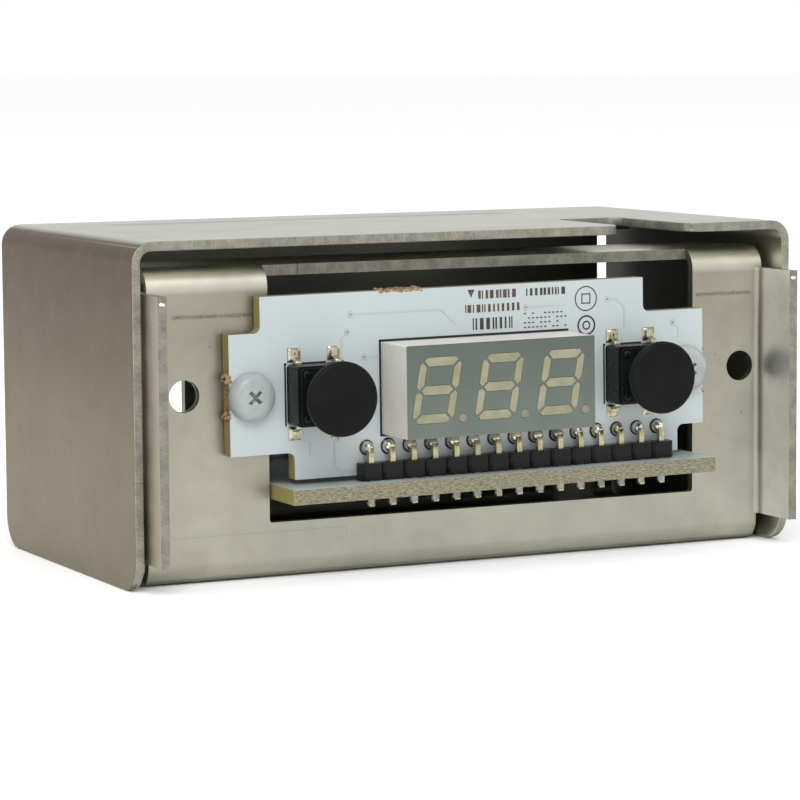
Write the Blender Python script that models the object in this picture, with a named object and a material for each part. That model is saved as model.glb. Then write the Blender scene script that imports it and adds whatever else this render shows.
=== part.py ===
"""LED display and button module in a folded stainless steel housing.

The origin is the centre of the housing's underside: +X to the right, +Y to the back, +Z up.
Sizes below are in millimetres. Meshes are made in metres.
"""

import math

import bmesh
import bpy
from mathutils import Vector

MM = 0.001
ARC_STEP = math.radians(15)
ROUND_SIDES = 32

# Folded sheet
SHEET = 1.0
BEND_RADIUS = 1.2
TOP_BEND_RADIUS = 1.45
SIDE_BEND_RADIUS = 0.6
GAP = 0.3

# Outer shell
SHELL_WIDTH = 79.0
SHELL_HEIGHT = 36.3
SHELL_DEPTH = 40.0
SHELL_FRONT = -SHELL_DEPTH / 2
SHELL_CORNER = 3.5
NOTCH_LEFT = 18.2
NOTCH_RIGHT = 26.5
NOTCH_DEPTH = 16.0
NOTCH_LIP = 2.4
NOTCH_CORNER = 1.5

# Chassis
CHASSIS_SIDE = SHELL_WIDTH / 2 - SHEET - GAP
PLATE_FRONT = SHELL_FRONT + 2.8
PLATE_BACK = PLATE_FRONT + SHEET
PLATE_TOP = 33.4
TOP_FLANGE_DEPTH = 10.0
TOP_BEND_LEFT = -36.8
TOP_BEND_RIGHT = 37.6
FLOOR_BEND_END = 37.0
SIDE_FLANGE_FRONT = SHELL_FRONT - 3.75
SIDE_FLANGE_BOTTOM = 3.0
SIDE_FLANGE_TOP = 30.9
REAR_WALL_BACK = SHELL_DEPTH / 2 - 1.0
REAR_WALL_SIDE = 36.2
REAR_WALL_STEP = 12.0
REAR_WALL_TOP = SHELL_HEIGHT - SHEET - GAP
REAR_FLANGE_DEPTH = 9.0

# Openings in the chassis
WINDOW_LEFT = -23.2
WINDOW_RIGHT = 28.6
WINDOW_BOTTOM = 6.0
WINDOW_BACK = SHELL_FRONT + 4.3
TAB_TOP = 25.4
TAB_BOTTOM = 14.6
TAB_LENGTH = 5.3
PANEL_HOLES = (-32.75, 34.75)
PANEL_HOLE_HEIGHT = 19.9
PANEL_HOLE_DIAMETER = 3.4
CABLE_OPENING = (-33.5, -18.3, 6.0, 28.0)
CABLE_OPENING_CORNER = 1.5

# Boards, placed from a datum on the line of screws and buttons. They sit half a degree
# off level, inside their screws' clearance.
BOARD_THICKNESS = 1.6
BOARD_X = 0.45
BOARD_HEIGHT = 20.2
BOARD_ROLL = math.radians(-0.5)
BOARD_BACK = PLATE_FRONT - 0.15
BOARD_FRONT = BOARD_BACK - BOARD_THICKNESS
EAR_SIDES = (-28.85, 28.4)
EAR_HEIGHTS = (-6.5, 6.3)
BOARD_TOP = 10.1
BOARD_TOP_SIDES = (-25.25, 20.8)
BOARD_BOTTOM = -9.4
BOARD_BOTTOM_SIDES = (-21.55, 25.1)
BOARD_CORNER = 0.1
EAR_FILLET = 0.7
LOWER_BOARD_LEFT = -23.35
LOWER_BOARD_RIGHT = 27.85
LOWER_BOARD_FRONT = SHELL_FRONT - 2.75
LOWER_BOARD_BACK = 9.0
LOWER_BOARD_TOP = -9.95
LOWER_BOARD_BOTTOM = LOWER_BOARD_TOP - BOARD_THICKNESS

# Nylon screws and nuts
SCREW_SIDES = (-26.45, 26.1)
SCREW_LINE = -0.3
HEAD_DIAMETER = 5.15
HEAD_HEIGHT = 1.35
SHANK_DIAMETER = 2.9
SCREW_LENGTH = 6.5
SCREW_HOLE = 3.3
NUT_WIDTH = 5.5
NUT_HEIGHT = 2.4
RECESS_LENGTH = 1.8
RECESS_WIDTH = 0.45
RECESS_DEPTH = 0.9
RECESS_TURN = math.radians(45)

# Display
DISPLAY_WIDTH = 22.5
DISPLAY_HEIGHT = 9.9
DISPLAY_DEPTH = 6.1
DISPLAY_LINE = -0.3
DISPLAY_WALL = 0.8
DISPLAY_SIDE_WALL = 0.45
DIGIT_PITCH = 7.4
DIGIT_SIDE = 2.03
DIGIT_LEVEL = 3.0
DIGIT_SLANT = math.tan(math.radians(10.3))
DIGITS_SHIFT = -0.32
DIGITS_RISE = 0.14
BAR_WIDTH = 0.95
POST_WIDTH = 0.8
OUTER_TIP = 0.14
MIDDLE_TIP = 0.08
SEGMENT_GAP = 0.26
SEGMENT_CLEARANCE = 0.05
POINT_DIAMETER = 0.92
POINT_SIDE = 3.0
POINT_DROP = 3.12

# Header
PIN_COUNT = 15
PIN_PITCH = 2.54
PIN_SIZE = 0.64
PIN_BEND = 0.3
HEADER_CENTRE = 4.6
HEADER_LINE = -6.5
HEADER_Y = SHELL_FRONT + 0.1
HEADER_TOP = -8.05
HEADER_FRONT = SHELL_FRONT - 0.6
HEADER_BACK = BOARD_FRONT - 0.2
HEADER_GROOVE = 0.3
PIN_TAIL = 1.15
PIN_HOLE = 1.2
BLOCK_HOLE = 0.84

# Push buttons: distances from the front of the board, towards the front
BUTTON_SIDE = 19.15
BUTTON_LINE = -0.33
BASE_WIDTH = 6.4
BASE_CORNER = 0.4
BASE_FRONT = 3.0
BASE_BACK = 0.1
CAVITY_DIAMETER = 4.6
CAVITY_FLOOR = 1.4
COVER_WIDTH = 6.0
COVER_THICKNESS = 0.3
COVER_HOLE = 3.7
STEM_DIAMETER = 3.2
STEM_FLANGE = 4.1
STEM_FLANGE_BACK = 2.3
STEM_FLANGE_FRONT = 2.9
STEM_FRONT = 6.2
DOME_DIAMETER = 4.2
DOME_RISE = 0.35
DOME_THICKNESS = 0.12
CAP_DIAMETER = 7.85
CAP_SIDES = 64
CAP_FRONT = 7.5
CAP_THICKNESS = 0.9
CAP_EDGE = 0.25
NECK_DIAMETER = 5.2
NECK_BACK = 4.0
CAP_BORE = 3.5
TERMINAL_SIDE = 2.3
TERMINAL_WIDTH = 0.7
TERMINAL_THICKNESS = 0.2
TERMINAL_HEIGHT = 1.0
TERMINAL_REACH = 4.7
TERMINAL_FOOT = 3.75
TERMINAL_BEND = 0.1

# Parts on the lower board
SUPPORTS = (-20.0, 24.5)
SUPPORT_Y = 4.0
SUPPORT_DIAMETER = 5.0
SUPPORT_PIN = 2.6
SUPPORT_HOLE = 3.0
CHIP_SIZE = (12.8, 7.5, 2.3)
CHIP_PLACE = (4.0, -7.0)
REGULATOR_SIZE = (6.5, 3.5, 1.6)
REGULATOR_PLACE = (17.5, -9.0)
CAPACITORS = ((17.0, 0.5, 6.3, 7.7), (9.5, 4.0, 5.0, 5.4))
SOCKET_LEFT = -18.0
SOCKET_RIGHT = -5.6
SOCKET_FRONT = 3.0
SOCKET_BACK = 10.0
SOCKET_HEIGHT = 5.8
SOCKET_WALL = 0.8
SOCKET_PIN_LINE = -7.0
SOCKET_PIN_PITCH = 2.5
SOCKET_PIN_Y = 1.6
SOCKET_PIN_COUNT = 4

# Colour, roughness, metallic and alpha of each finish
FINISHES = {
    "stainless": ((0.62, 0.60, 0.55), 0.35, 1.0, 1.0),
    "white_board": ((0.78, 0.83, 0.84), 0.45, 0.0, 1.0),
    "grey_plastic": ((0.20, 0.24, 0.22), 0.5, 0.0, 1.0),
    "segment_resin": ((0.52, 0.50, 0.38), 0.4, 0.0, 1.0),
    "nylon": ((0.80, 0.82, 0.80), 0.4, 0.0, 0.85),
    "black_plastic": ((0.02, 0.022, 0.022), 0.5, 0.0, 1.0),
    "gold": ((0.80, 0.62, 0.28), 0.3, 1.0, 1.0),
    "tinned_steel": ((0.70, 0.68, 0.60), 0.3, 1.0, 1.0),
    "brown_plastic": ((0.16, 0.05, 0.03), 0.5, 0.0, 1.0),
    "white_plastic": ((0.80, 0.79, 0.74), 0.5, 0.0, 1.0),
    "aluminium": ((0.75, 0.76, 0.77), 0.3, 1.0, 1.0),
}


def clear_scene():
    for thing in list(bpy.data.objects):
        bpy.data.objects.remove(thing, do_unlink=True)


def finish(name):
    """The named finish's material, made the first time that it is asked for."""
    found = bpy.data.materials.get(name)
    if found:
        return found
    colour, roughness, metallic, alpha = FINISHES[name]
    made = bpy.data.materials.new(name)
    made.use_nodes = True
    shader = made.node_tree.nodes["Principled BSDF"]
    shader.inputs["Base Color"].default_value = (*colour, 1.0)
    shader.inputs["Roughness"].default_value = roughness
    shader.inputs["Metallic"].default_value = metallic
    shader.inputs["Alpha"].default_value = alpha
    return made


def add_object(name, shape, finish_name, parent=None):
    """An object made from a bmesh whose points are in millimetres."""
    bmesh.ops.scale(shape, vec=(MM, MM, MM), verts=shape.verts)
    bmesh.ops.recalc_face_normals(shape, faces=shape.faces)
    mesh = bpy.data.meshes.new(name)
    shape.to_mesh(mesh)
    shape.free()
    made = bpy.data.objects.new(name, mesh)
    bpy.context.scene.collection.objects.link(made)
    made.parent = parent
    if finish_name:
        mesh.materials.append(finish(finish_name))
    return made


# ---------------------------------------------------------------- outlines


def rounded(corners):
    """The points of a closed outline whose corners (x, y, radius) are replaced by arcs."""
    outline = []
    for index, (x, y, radius) in enumerate(corners):
        corner = Vector((x, y))
        if radius <= 0:
            outline.append(corner)
            continue
        before = (Vector(corners[index - 1][:2]) - corner).normalized()
        after = (Vector(corners[(index + 1) % len(corners)][:2]) - corner).normalized()
        half = before.angle(after) / 2
        centre = corner + (before + after).normalized() * radius / math.sin(half)
        start = corner + before * radius / math.tan(half) - centre
        turn = math.pi - 2 * half
        steps = max(2, round(turn / ARC_STEP))
        sign = 1 if before.cross(after) < 0 else -1
        for step in range(steps + 1):
            angle = sign * turn * step / steps
            turned_start = Vector(
                (
                    start.x * math.cos(angle) - start.y * math.sin(angle),
                    start.x * math.sin(angle) + start.y * math.cos(angle),
                )
            )
            outline.append(centre + turned_start)
    return [tuple(point) for point in outline]


def folded(path, thickness, inner_radii):
    """The outline of a sheet that is folded along a path, with its thickness to the path's left.

    inner_radii holds a radius for each fold, in the path's order.
    """
    radii = [0, *inner_radii, 0]
    points = [Vector(point) for point in path]
    near = []
    far = []
    for index, point in enumerate(points):
        before = points[max(index, 1)] - points[max(index, 1) - 1]
        next_index = min(index, len(points) - 2)
        after = points[next_index + 1] - points[next_index]
        before.normalize()
        after.normalize()
        left_before = Vector((-before.y, before.x))
        left_after = Vector((-after.y, after.x))
        offset = (left_before + left_after) / (1 + left_before.dot(left_after)) * thickness
        turn = before.cross(after)
        near_radius = 0
        far_radius = 0
        if turn > 1e-6:
            near_radius = radii[index] + thickness
            far_radius = radii[index]
        elif turn < -1e-6:
            near_radius = radii[index]
            far_radius = radii[index] + thickness
        near.append((point.x, point.y, near_radius))
        far.append((point.x + offset.x, point.y + offset.y, far_radius))
    return rounded(near + far[::-1])


def rectangle(left, right, bottom, top, radius=0):
    corners = [(left, bottom), (right, bottom), (right, top), (left, top)]
    return rounded([(*corner, radius) for corner in corners])


def circle(x, y, diameter, sides=ROUND_SIDES):
    angles = [2 * math.pi * (side + 0.5) / sides for side in range(sides)]
    return [(x + diameter / 2 * math.cos(a), y + diameter / 2 * math.sin(a)) for a in angles]


# ---------------------------------------------------------------- solids


def place(axis, across, up, along):
    """The point of an outline in the plane across an axis: (y, z), (x, z) or (x, y)."""
    if axis == "X":
        return (along, across, up)
    if axis == "Y":
        return (across, along, up)
    return (across, up, along)


def prism(name, outline, axis, start, end, finish_name=None, parent=None):
    """An outline extruded along an axis from start to end."""
    shape = bmesh.new()
    corners = [shape.verts.new(place(axis, a, b, start)) for a, b in outline]
    face = shape.faces.new(corners)
    extruded = bmesh.ops.extrude_face_region(shape, geom=[face])["geom"]
    moved = [part for part in extruded if isinstance(part, bmesh.types.BMVert)]
    bmesh.ops.translate(shape, vec=Vector(place(axis, 0, 0, end - start)), verts=moved)
    return add_object(name, shape, finish_name, parent)


def block(name, low, high, finish_name=None, parent=None):
    outline = rectangle(low[0], high[0], low[1], high[1])
    return prism(name, outline, "Z", low[2], high[2], finish_name, parent)


def turned(name, profile, centre, finish_name, parent=None, sides=ROUND_SIDES):
    """A profile of (radius, y) points turned about the line through centre (x, z) along Y."""
    shape = bmesh.new()
    x, z = centre
    ring = [shape.verts.new((x + radius, y, z)) for radius, y in profile]
    edges = [shape.edges.new(pair) for pair in zip(ring, ring[1:])]
    if profile[0][0] > 0:
        edges.append(shape.edges.new((ring[-1], ring[0])))
    bmesh.ops.spin(
        shape,
        geom=ring + edges,
        cent=(x, 0, z),
        axis=(0, 1, 0),
        angle=2 * math.pi,
        steps=sides,
        use_merge=True,
    )
    bmesh.ops.remove_doubles(shape, verts=shape.verts, dist=1e-4)
    made = add_object(name, shape, finish_name, parent)
    made.data.shade_smooth()
    made.data.set_sharp_from_angle(angle=math.radians(35))
    return made


def combine(target, other, operation):
    step = target.modifiers.new(other.name, "BOOLEAN")
    step.operation = operation
    step.object = other
    step.solver = "EXACT"
    other.hide_render = True
    other.display_type = "WIRE"


def cut(target, cutter):
    combine(target, cutter, "DIFFERENCE")


def join(target, other):
    combine(target, other, "UNION")


# ---------------------------------------------------------------- housing


def outer_shell():
    side = SHELL_WIDTH / 2
    path = [(side, 0), (side, SHELL_HEIGHT), (-side, SHELL_HEIGHT), (-side, 0)]
    outline = folded(path, SHEET, [BEND_RADIUS] * 2)
    shell = prism("outer_shell", outline, "Y", SHELL_FRONT, -SHELL_FRONT, "stainless")
    for name, facing in (("front", -1), ("rear", 1)):
        edge = facing * SHELL_DEPTH / 2
        corners = [
            (edge - facing * SHELL_CORNER, 0),
            (edge - facing * SHELL_CORNER, -1),
            (edge + facing, -1),
            (edge + facing, SHELL_CORNER),
            (edge, SHELL_CORNER),
        ]
        quarter = math.pi / 2 / 6
        centre_y = edge - facing * SHELL_CORNER
        for step in range(1, 6):
            angle = quarter * step
            y = centre_y + facing * SHELL_CORNER * math.cos(angle)
            corners.append((y, SHELL_CORNER - SHELL_CORNER * math.sin(angle)))
        cutter = prism(f"{name}_corner_cutter", corners, "X", -side - 1, side + 1)
        cut(shell, cutter)
    cut(shell, notch_cutter())
    return shell


def notch_cutter():
    """The slot in the top panel, open to the front, with its two lips rounded."""
    back = SHELL_FRONT + NOTCH_DEPTH
    outside = SHELL_FRONT - 1
    outline = rounded(
        [
            (NOTCH_LEFT - NOTCH_LIP - 1, outside, 0),
            (NOTCH_RIGHT + NOTCH_LIP + 1, outside, 0),
            (NOTCH_RIGHT + NOTCH_LIP + 1, SHELL_FRONT, 0),
            (NOTCH_RIGHT, SHELL_FRONT, NOTCH_LIP),
            (NOTCH_RIGHT, back, NOTCH_CORNER),
            (NOTCH_LEFT, back, NOTCH_CORNER),
            (NOTCH_LEFT, SHELL_FRONT, NOTCH_LIP),
            (NOTCH_LEFT - NOTCH_LIP - 1, SHELL_FRONT, 0),
        ]
    )
    return prism("notch_cutter", outline, "Z", SHELL_HEIGHT - 2 * SHEET, SHELL_HEIGHT + SHEET)


def chassis(datum):
    path = [
        (PLATE_FRONT + TOP_FLANGE_DEPTH, PLATE_TOP),
        (PLATE_FRONT, PLATE_TOP),
        (PLATE_FRONT, 0),
        (REAR_WALL_BACK, 0),
        (REAR_WALL_BACK, REAR_WALL_TOP),
        (REAR_WALL_BACK - REAR_FLANGE_DEPTH, REAR_WALL_TOP),
    ]
    outline = folded(path, SHEET, [TOP_BEND_RADIUS, BEND_RADIUS, BEND_RADIUS, BEND_RADIUS])
    body = prism("chassis", outline, "X", -CHASSIS_SIDE, CHASSIS_SIDE, "stainless")
    trim_chassis_ends(body)
    join(body, side_flanges())
    cut(body, window_cutter())
    for index, x in enumerate(PANEL_HOLES):
        outline = circle(x, PANEL_HOLE_HEIGHT, PANEL_HOLE_DIAMETER)
        cut(body, prism(f"panel_hole_cutter_{index}", outline, "Y", PLATE_FRONT - 2, PLATE_BACK + 2))
    left, right, bottom, top = CABLE_OPENING
    outline = rectangle(left, right, bottom, top, CABLE_OPENING_CORNER)
    cut(body, prism("cable_opening_cutter", outline, "Y", REAR_WALL_BACK - 3, REAR_WALL_BACK + 2))
    for index, x in enumerate(SCREW_SIDES):
        outline = circle(x, SCREW_LINE, SCREW_HOLE)
        name = f"plate_screw_cutter_{index}"
        cut(body, prism(name, outline, "Y", PLATE_FRONT - 2, PLATE_BACK + 2, parent=datum))
    for index, x in enumerate(SUPPORTS):
        outline = circle(x, SUPPORT_Y, SUPPORT_HOLE)
        low = -BOARD_HEIGHT - 2
        name = f"floor_hole_cutter_{index}"
        cut(body, prism(name, outline, "Z", low, low + 5, parent=datum))
    return body


def trim_chassis_ends(body):
    """Shortens the folds at both ends, where the side flanges bend forward on their own."""
    beyond = CHASSIS_SIDE + 1
    flange_root = CHASSIS_SIDE - SHEET - SIDE_BEND_RADIUS - 0.5
    front = PLATE_FRONT - 1
    behind_plate = PLATE_BACK + TOP_BEND_RADIUS
    flange_back = PLATE_FRONT + TOP_FLANGE_DEPTH + 1
    foot = SIDE_FLANGE_BOTTOM
    head = SIDE_FLANGE_TOP
    over = REAR_WALL_TOP + 1
    rear = REAR_WALL_BACK - REAR_FLANGE_DEPTH - 1
    rear_end = REAR_WALL_BACK + 1
    overlap = 0.1
    left = {
        "plate": ((-beyond, front, foot + overlap), (-flange_root, behind_plate, head - overlap)),
        "top": ((-beyond, front, head - 2 * overlap), (TOP_BEND_LEFT, flange_back, over)),
        "foot": ((-beyond, front, -1), (-FLOOR_BEND_END, behind_plate, foot + 2 * overlap)),
        "rear": ((-beyond, rear, REAR_WALL_STEP), (-REAR_WALL_SIDE, rear_end, over)),
    }
    right = {
        "plate": ((flange_root, front, foot + overlap), (beyond, behind_plate, head - overlap)),
        "top": ((TOP_BEND_RIGHT, front, head - 2 * overlap), (beyond, flange_back, over)),
        "foot": ((FLOOR_BEND_END, front, -1), (beyond, behind_plate, foot + 2 * overlap)),
        "rear": ((REAR_WALL_SIDE, rear, REAR_WALL_STEP), (beyond, rear_end, over)),
    }
    for side_name, ends in (("left", left), ("right", right)):
        for name, (low, high) in ends.items():
            cut(body, block(f"{side_name}_{name}_cutter", low, high))


def side_flanges():
    """The front plate between its two side flanges, which bend forward."""
    path = [
        (CHASSIS_SIDE, SIDE_FLANGE_FRONT),
        (CHASSIS_SIDE, PLATE_BACK),
        (-CHASSIS_SIDE, PLATE_BACK),
        (-CHASSIS_SIDE, SIDE_FLANGE_FRONT),
    ]
    outline = folded(path, SHEET, [SIDE_BEND_RADIUS] * 2)
    return prism("side_flanges_stock", outline, "Z", SIDE_FLANGE_BOTTOM, SIDE_FLANGE_TOP)


def window_cutter():
    """The window, open through the top fold, with the tab that carries the right-hand screw."""
    top = PLATE_TOP + 5
    outline = rounded(
        [
            (WINDOW_LEFT, WINDOW_BOTTOM, 0.3),
            (WINDOW_RIGHT, WINDOW_BOTTOM, 0.3),
            (WINDOW_RIGHT, TAB_BOTTOM, 0.5),
            (WINDOW_RIGHT - TAB_LENGTH, TAB_BOTTOM, 0.5),
            (WINDOW_RIGHT - TAB_LENGTH, TAB_TOP, 0.5),
            (WINDOW_RIGHT, TAB_TOP, 0.5),
            (WINDOW_RIGHT, top, 0),
            (WINDOW_LEFT, top, 0),
        ]
    )
    return prism("window_cutter", outline, "Y", PLATE_FRONT - 1, WINDOW_BACK)


# ---------------------------------------------------------------- boards


def board_datum():
    """The empty that the boards and all that they carry are placed from, in board millimetres."""
    datum = bpy.data.objects.new("board_datum", None)
    bpy.context.scene.collection.objects.link(datum)
    datum.location = (BOARD_X * MM, 0, BOARD_HEIGHT * MM)
    datum.rotation_euler = (0, BOARD_ROLL, 0)
    return datum


def pin_places():
    first = HEADER_CENTRE - PIN_PITCH * (PIN_COUNT - 1) / 2
    return [first + PIN_PITCH * index for index in range(PIN_COUNT)]


def socket_pin_places():
    middle = (SOCKET_LEFT + SOCKET_RIGHT) / 2
    first = middle - SOCKET_PIN_PITCH * (SOCKET_PIN_COUNT - 1) / 2
    return [first + SOCKET_PIN_PITCH * index for index in range(SOCKET_PIN_COUNT)]


def front_board(datum):
    left, right = EAR_SIDES
    low, high = EAR_HEIGHTS
    top_left, top_right = BOARD_TOP_SIDES
    bottom_left, bottom_right = BOARD_BOTTOM_SIDES
    outline = rounded(
        [
            (left, low, BOARD_CORNER),
            (bottom_left, low, EAR_FILLET),
            (bottom_left, BOARD_BOTTOM, BOARD_CORNER),
            (bottom_right, BOARD_BOTTOM, BOARD_CORNER),
            (bottom_right, low, EAR_FILLET),
            (right, low, BOARD_CORNER),
            (right, high, BOARD_CORNER),
            (top_right, high, EAR_FILLET),
            (top_right, BOARD_TOP, BOARD_CORNER),
            (top_left, BOARD_TOP, BOARD_CORNER),
            (top_left, high, EAR_FILLET),
            (left, high, BOARD_CORNER),
        ]
    )
    board = prism("front_board", outline, "Y", BOARD_FRONT, BOARD_BACK, "white_board", datum)
    holes = [(x, HEADER_LINE, PIN_HOLE, 8) for x in pin_places()]
    holes += [(x, SCREW_LINE, SCREW_HOLE, ROUND_SIDES) for x in SCREW_SIDES]
    for index, (x, z, diameter, sides) in enumerate(holes):
        outline = circle(x, z, diameter, sides)
        name = f"front_board_cutter_{index}"
        cut(board, prism(name, outline, "Y", BOARD_FRONT - 1, BOARD_BACK + 1, parent=datum))
    return board


def connector_board(datum):
    outline = rectangle(LOWER_BOARD_LEFT, LOWER_BOARD_RIGHT, LOWER_BOARD_FRONT, LOWER_BOARD_BACK, 0.3)
    board = prism(
        "connector_board", outline, "Z", LOWER_BOARD_BOTTOM, LOWER_BOARD_TOP, "white_board", datum
    )
    holes = [(x, HEADER_Y, PIN_HOLE, 8) for x in pin_places()]
    holes += [(x, SOCKET_PIN_Y, PIN_HOLE, 8) for x in socket_pin_places()]
    holes += [(x, SUPPORT_Y, SUPPORT_HOLE, 16) for x in SUPPORTS]
    for index, (x, y, diameter, sides) in enumerate(holes):
        outline = circle(x, y, diameter, sides)
        name = f"connector_board_cutter_{index}"
        low = LOWER_BOARD_BOTTOM - 1
        cut(board, prism(name, outline, "Z", low, LOWER_BOARD_TOP + 1, parent=datum))
    return board


def header(datum):
    first = pin_places()[0] - PIN_PITCH / 2
    outline = []
    for index in range(PIN_COUNT):
        left = first + PIN_PITCH * index
        outline.append((left, HEADER_FRONT + HEADER_GROOVE))
        outline.append((left + HEADER_GROOVE, HEADER_FRONT))
        outline.append((left + PIN_PITCH - HEADER_GROOVE, HEADER_FRONT))
    last = first + PIN_PITCH * PIN_COUNT
    outline += [(last, HEADER_FRONT + HEADER_GROOVE), (last, HEADER_BACK), (first, HEADER_BACK)]
    bottom = LOWER_BOARD_TOP + 0.1
    body = prism("header_block", outline, "Z", bottom, HEADER_TOP, "black_plastic", datum)
    half = BLOCK_HOLE / 2
    for index, x in enumerate(pin_places()):
        low = (x - half, HEADER_Y - half, bottom - 1)
        high = (x + half, HEADER_Y + half, HEADER_TOP + 1)
        cut(body, block(f"header_cutter_{index}", low, high, parent=datum))
    half = PIN_SIZE / 2
    path = [
        (BOARD_BACK + 1.0, HEADER_LINE + half),
        (HEADER_Y - half, HEADER_LINE + half),
        (HEADER_Y - half, LOWER_BOARD_BOTTOM - PIN_TAIL),
    ]
    outline = folded(path, PIN_SIZE, [PIN_BEND])
    for index, x in enumerate(pin_places()):
        name = f"header_pin_{index + 1:02d}"
        prism(name, outline, "X", x - half, x + half, "gold", datum)


def screws(datum):
    """A nylon pan-head screw with a cross recess on each side, and its nut."""
    seat = BOARD_FRONT - 0.1
    crown = seat - HEAD_HEIGHT
    radius = HEAD_DIAMETER / 2
    end = seat + SCREW_LENGTH
    profile = [
        (0, crown),
        (radius * 0.6, crown + 0.08),
        (radius * 0.8, crown + 0.25),
        (radius * 0.94, crown + 0.6),
        (radius, crown + 1.05),
        (radius, seat),
        (SHANK_DIAMETER / 2, seat),
        (SHANK_DIAMETER / 2, end - 0.4),
        (SHANK_DIAMETER / 2 - 0.4, end),
        (0, end),
    ]
    arm = RECESS_LENGTH / 2
    half = RECESS_WIDTH / 2
    for name, x in zip(("left", "right"), SCREW_SIDES):
        screw = turned(f"{name}_screw", profile, (x, SCREW_LINE), "nylon", datum)
        cross = []
        for turn in range(4):
            cosine = math.cos(RECESS_TURN + turn * math.pi / 2)
            sine = math.sin(RECESS_TURN + turn * math.pi / 2)
            for a, b in ((arm, -half), (arm, half), (half, half)):
                cross.append((x + a * cosine - b * sine, SCREW_LINE + a * sine + b * cosine))
        recess = prism(f"{name}_recess_cutter", cross, "Y", crown - 1, crown + RECESS_DEPTH, parent=datum)
        cut(screw, recess)
        nut_front = PLATE_BACK + 0.2
        outline = circle(x, SCREW_LINE, NUT_WIDTH / math.cos(math.pi / 6), 6)
        nut = prism(f"{name}_nut", outline, "Y", nut_front, nut_front + NUT_HEIGHT, "nylon", datum)
        outline = circle(x, SCREW_LINE, SHANK_DIAMETER + 0.2, ROUND_SIDES)
        bore_ends = (nut_front - 1, nut_front + NUT_HEIGHT + 1)
        cut(nut, prism(f"{name}_nut_cutter", outline, "Y", *bore_ends, parent=datum))


# ---------------------------------------------------------------- display


def segment(length, width, tips, clearance):
    """The outline of a segment along X, with its outer side up and its ends mitred at 45 degrees.

    length runs between the corners of the digit's centre lines. tips says how far each end's
    point lies above the centre line, first at the left.
    """
    half = width / 2 + clearance
    reach = length / 2 - SEGMENT_GAP / math.sqrt(2) + clearance * math.sqrt(2)
    left, right = tips
    return [
        (-reach + half, -half),
        (reach - half, -half),
        (reach + right, right),
        (reach + 2 * right - half, half),
        (-reach - 2 * left + half, half),
        (-reach - left, left),
    ]


def digit_outlines(clearance):
    """The outlines of a digit's seven segments, upright and around its own centre."""
    bar = segment(2 * DIGIT_SIDE, BAR_WIDTH, (OUTER_TIP, OUTER_TIP), clearance)
    middle = segment(2 * DIGIT_SIDE, BAR_WIDTH, (0, 0), clearance)
    post = segment(DIGIT_LEVEL, POST_WIDTH, (MIDDLE_TIP, OUTER_TIP), clearance)
    outlines = [middle]
    for up in (-1, 1):
        outlines.append([(x, up * (DIGIT_LEVEL + z)) for x, z in bar])
        for side in (-1, 1):
            corners = [(DIGIT_SIDE + out, DIGIT_LEVEL / 2 + along) for along, out in post]
            outlines.append([(side * out, up * along) for out, along in corners])
    return outlines


def segment_outlines(clearance):
    """The outlines of the segments and points of three digits, grown by a clearance."""
    line = DISPLAY_LINE + DIGITS_RISE
    outlines = []
    for digit in (-1, 0, 1):
        middle = DIGITS_SHIFT + digit * DIGIT_PITCH
        for shape in digit_outlines(clearance):
            outlines.append([(middle + x + z * DIGIT_SLANT, line + z) for x, z in shape])
        outlines.append(circle(middle + POINT_SIDE, line - POINT_DROP, POINT_DIAMETER + 2 * clearance, 12))
    return outlines


def display(datum):
    back = BOARD_FRONT - 0.2
    face = BOARD_FRONT - DISPLAY_DEPTH
    half_width = DISPLAY_WIDTH / 2
    low = DISPLAY_LINE - DISPLAY_HEIGHT / 2
    high = DISPLAY_LINE + DISPLAY_HEIGHT / 2
    outline = rectangle(-half_width, half_width, low, high, 0.15)
    housing = prism("display_housing", outline, "Y", face, back, "grey_plastic", datum)
    side = half_width - DISPLAY_SIDE_WALL
    inner = rectangle(-side, side, low + DISPLAY_WALL, high - DISPLAY_WALL)
    cut(housing, prism("display_cavity_cutter", inner, "Y", face + DISPLAY_WALL, back + 1, parent=datum))
    for index, outline in enumerate(segment_outlines(SEGMENT_CLEARANCE)):
        name = f"segment_cutter_{index}"
        cut(housing, prism(name, outline, "Y", face - 1, face + DISPLAY_WALL + 1, parent=datum))
    margin = DISPLAY_WALL + 0.1
    side -= 0.1
    inner = rectangle(-side, side, low + margin, high - margin)
    front = face + margin
    resin = prism("display_segments", inner, "Y", front, back - 0.4, "segment_resin", datum)
    for index, outline in enumerate(segment_outlines(0)):
        stock = prism(f"segment_stock_{index}", outline, "Y", face, front + 1, parent=datum)
        join(resin, stock)


# ---------------------------------------------------------------- buttons


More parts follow.
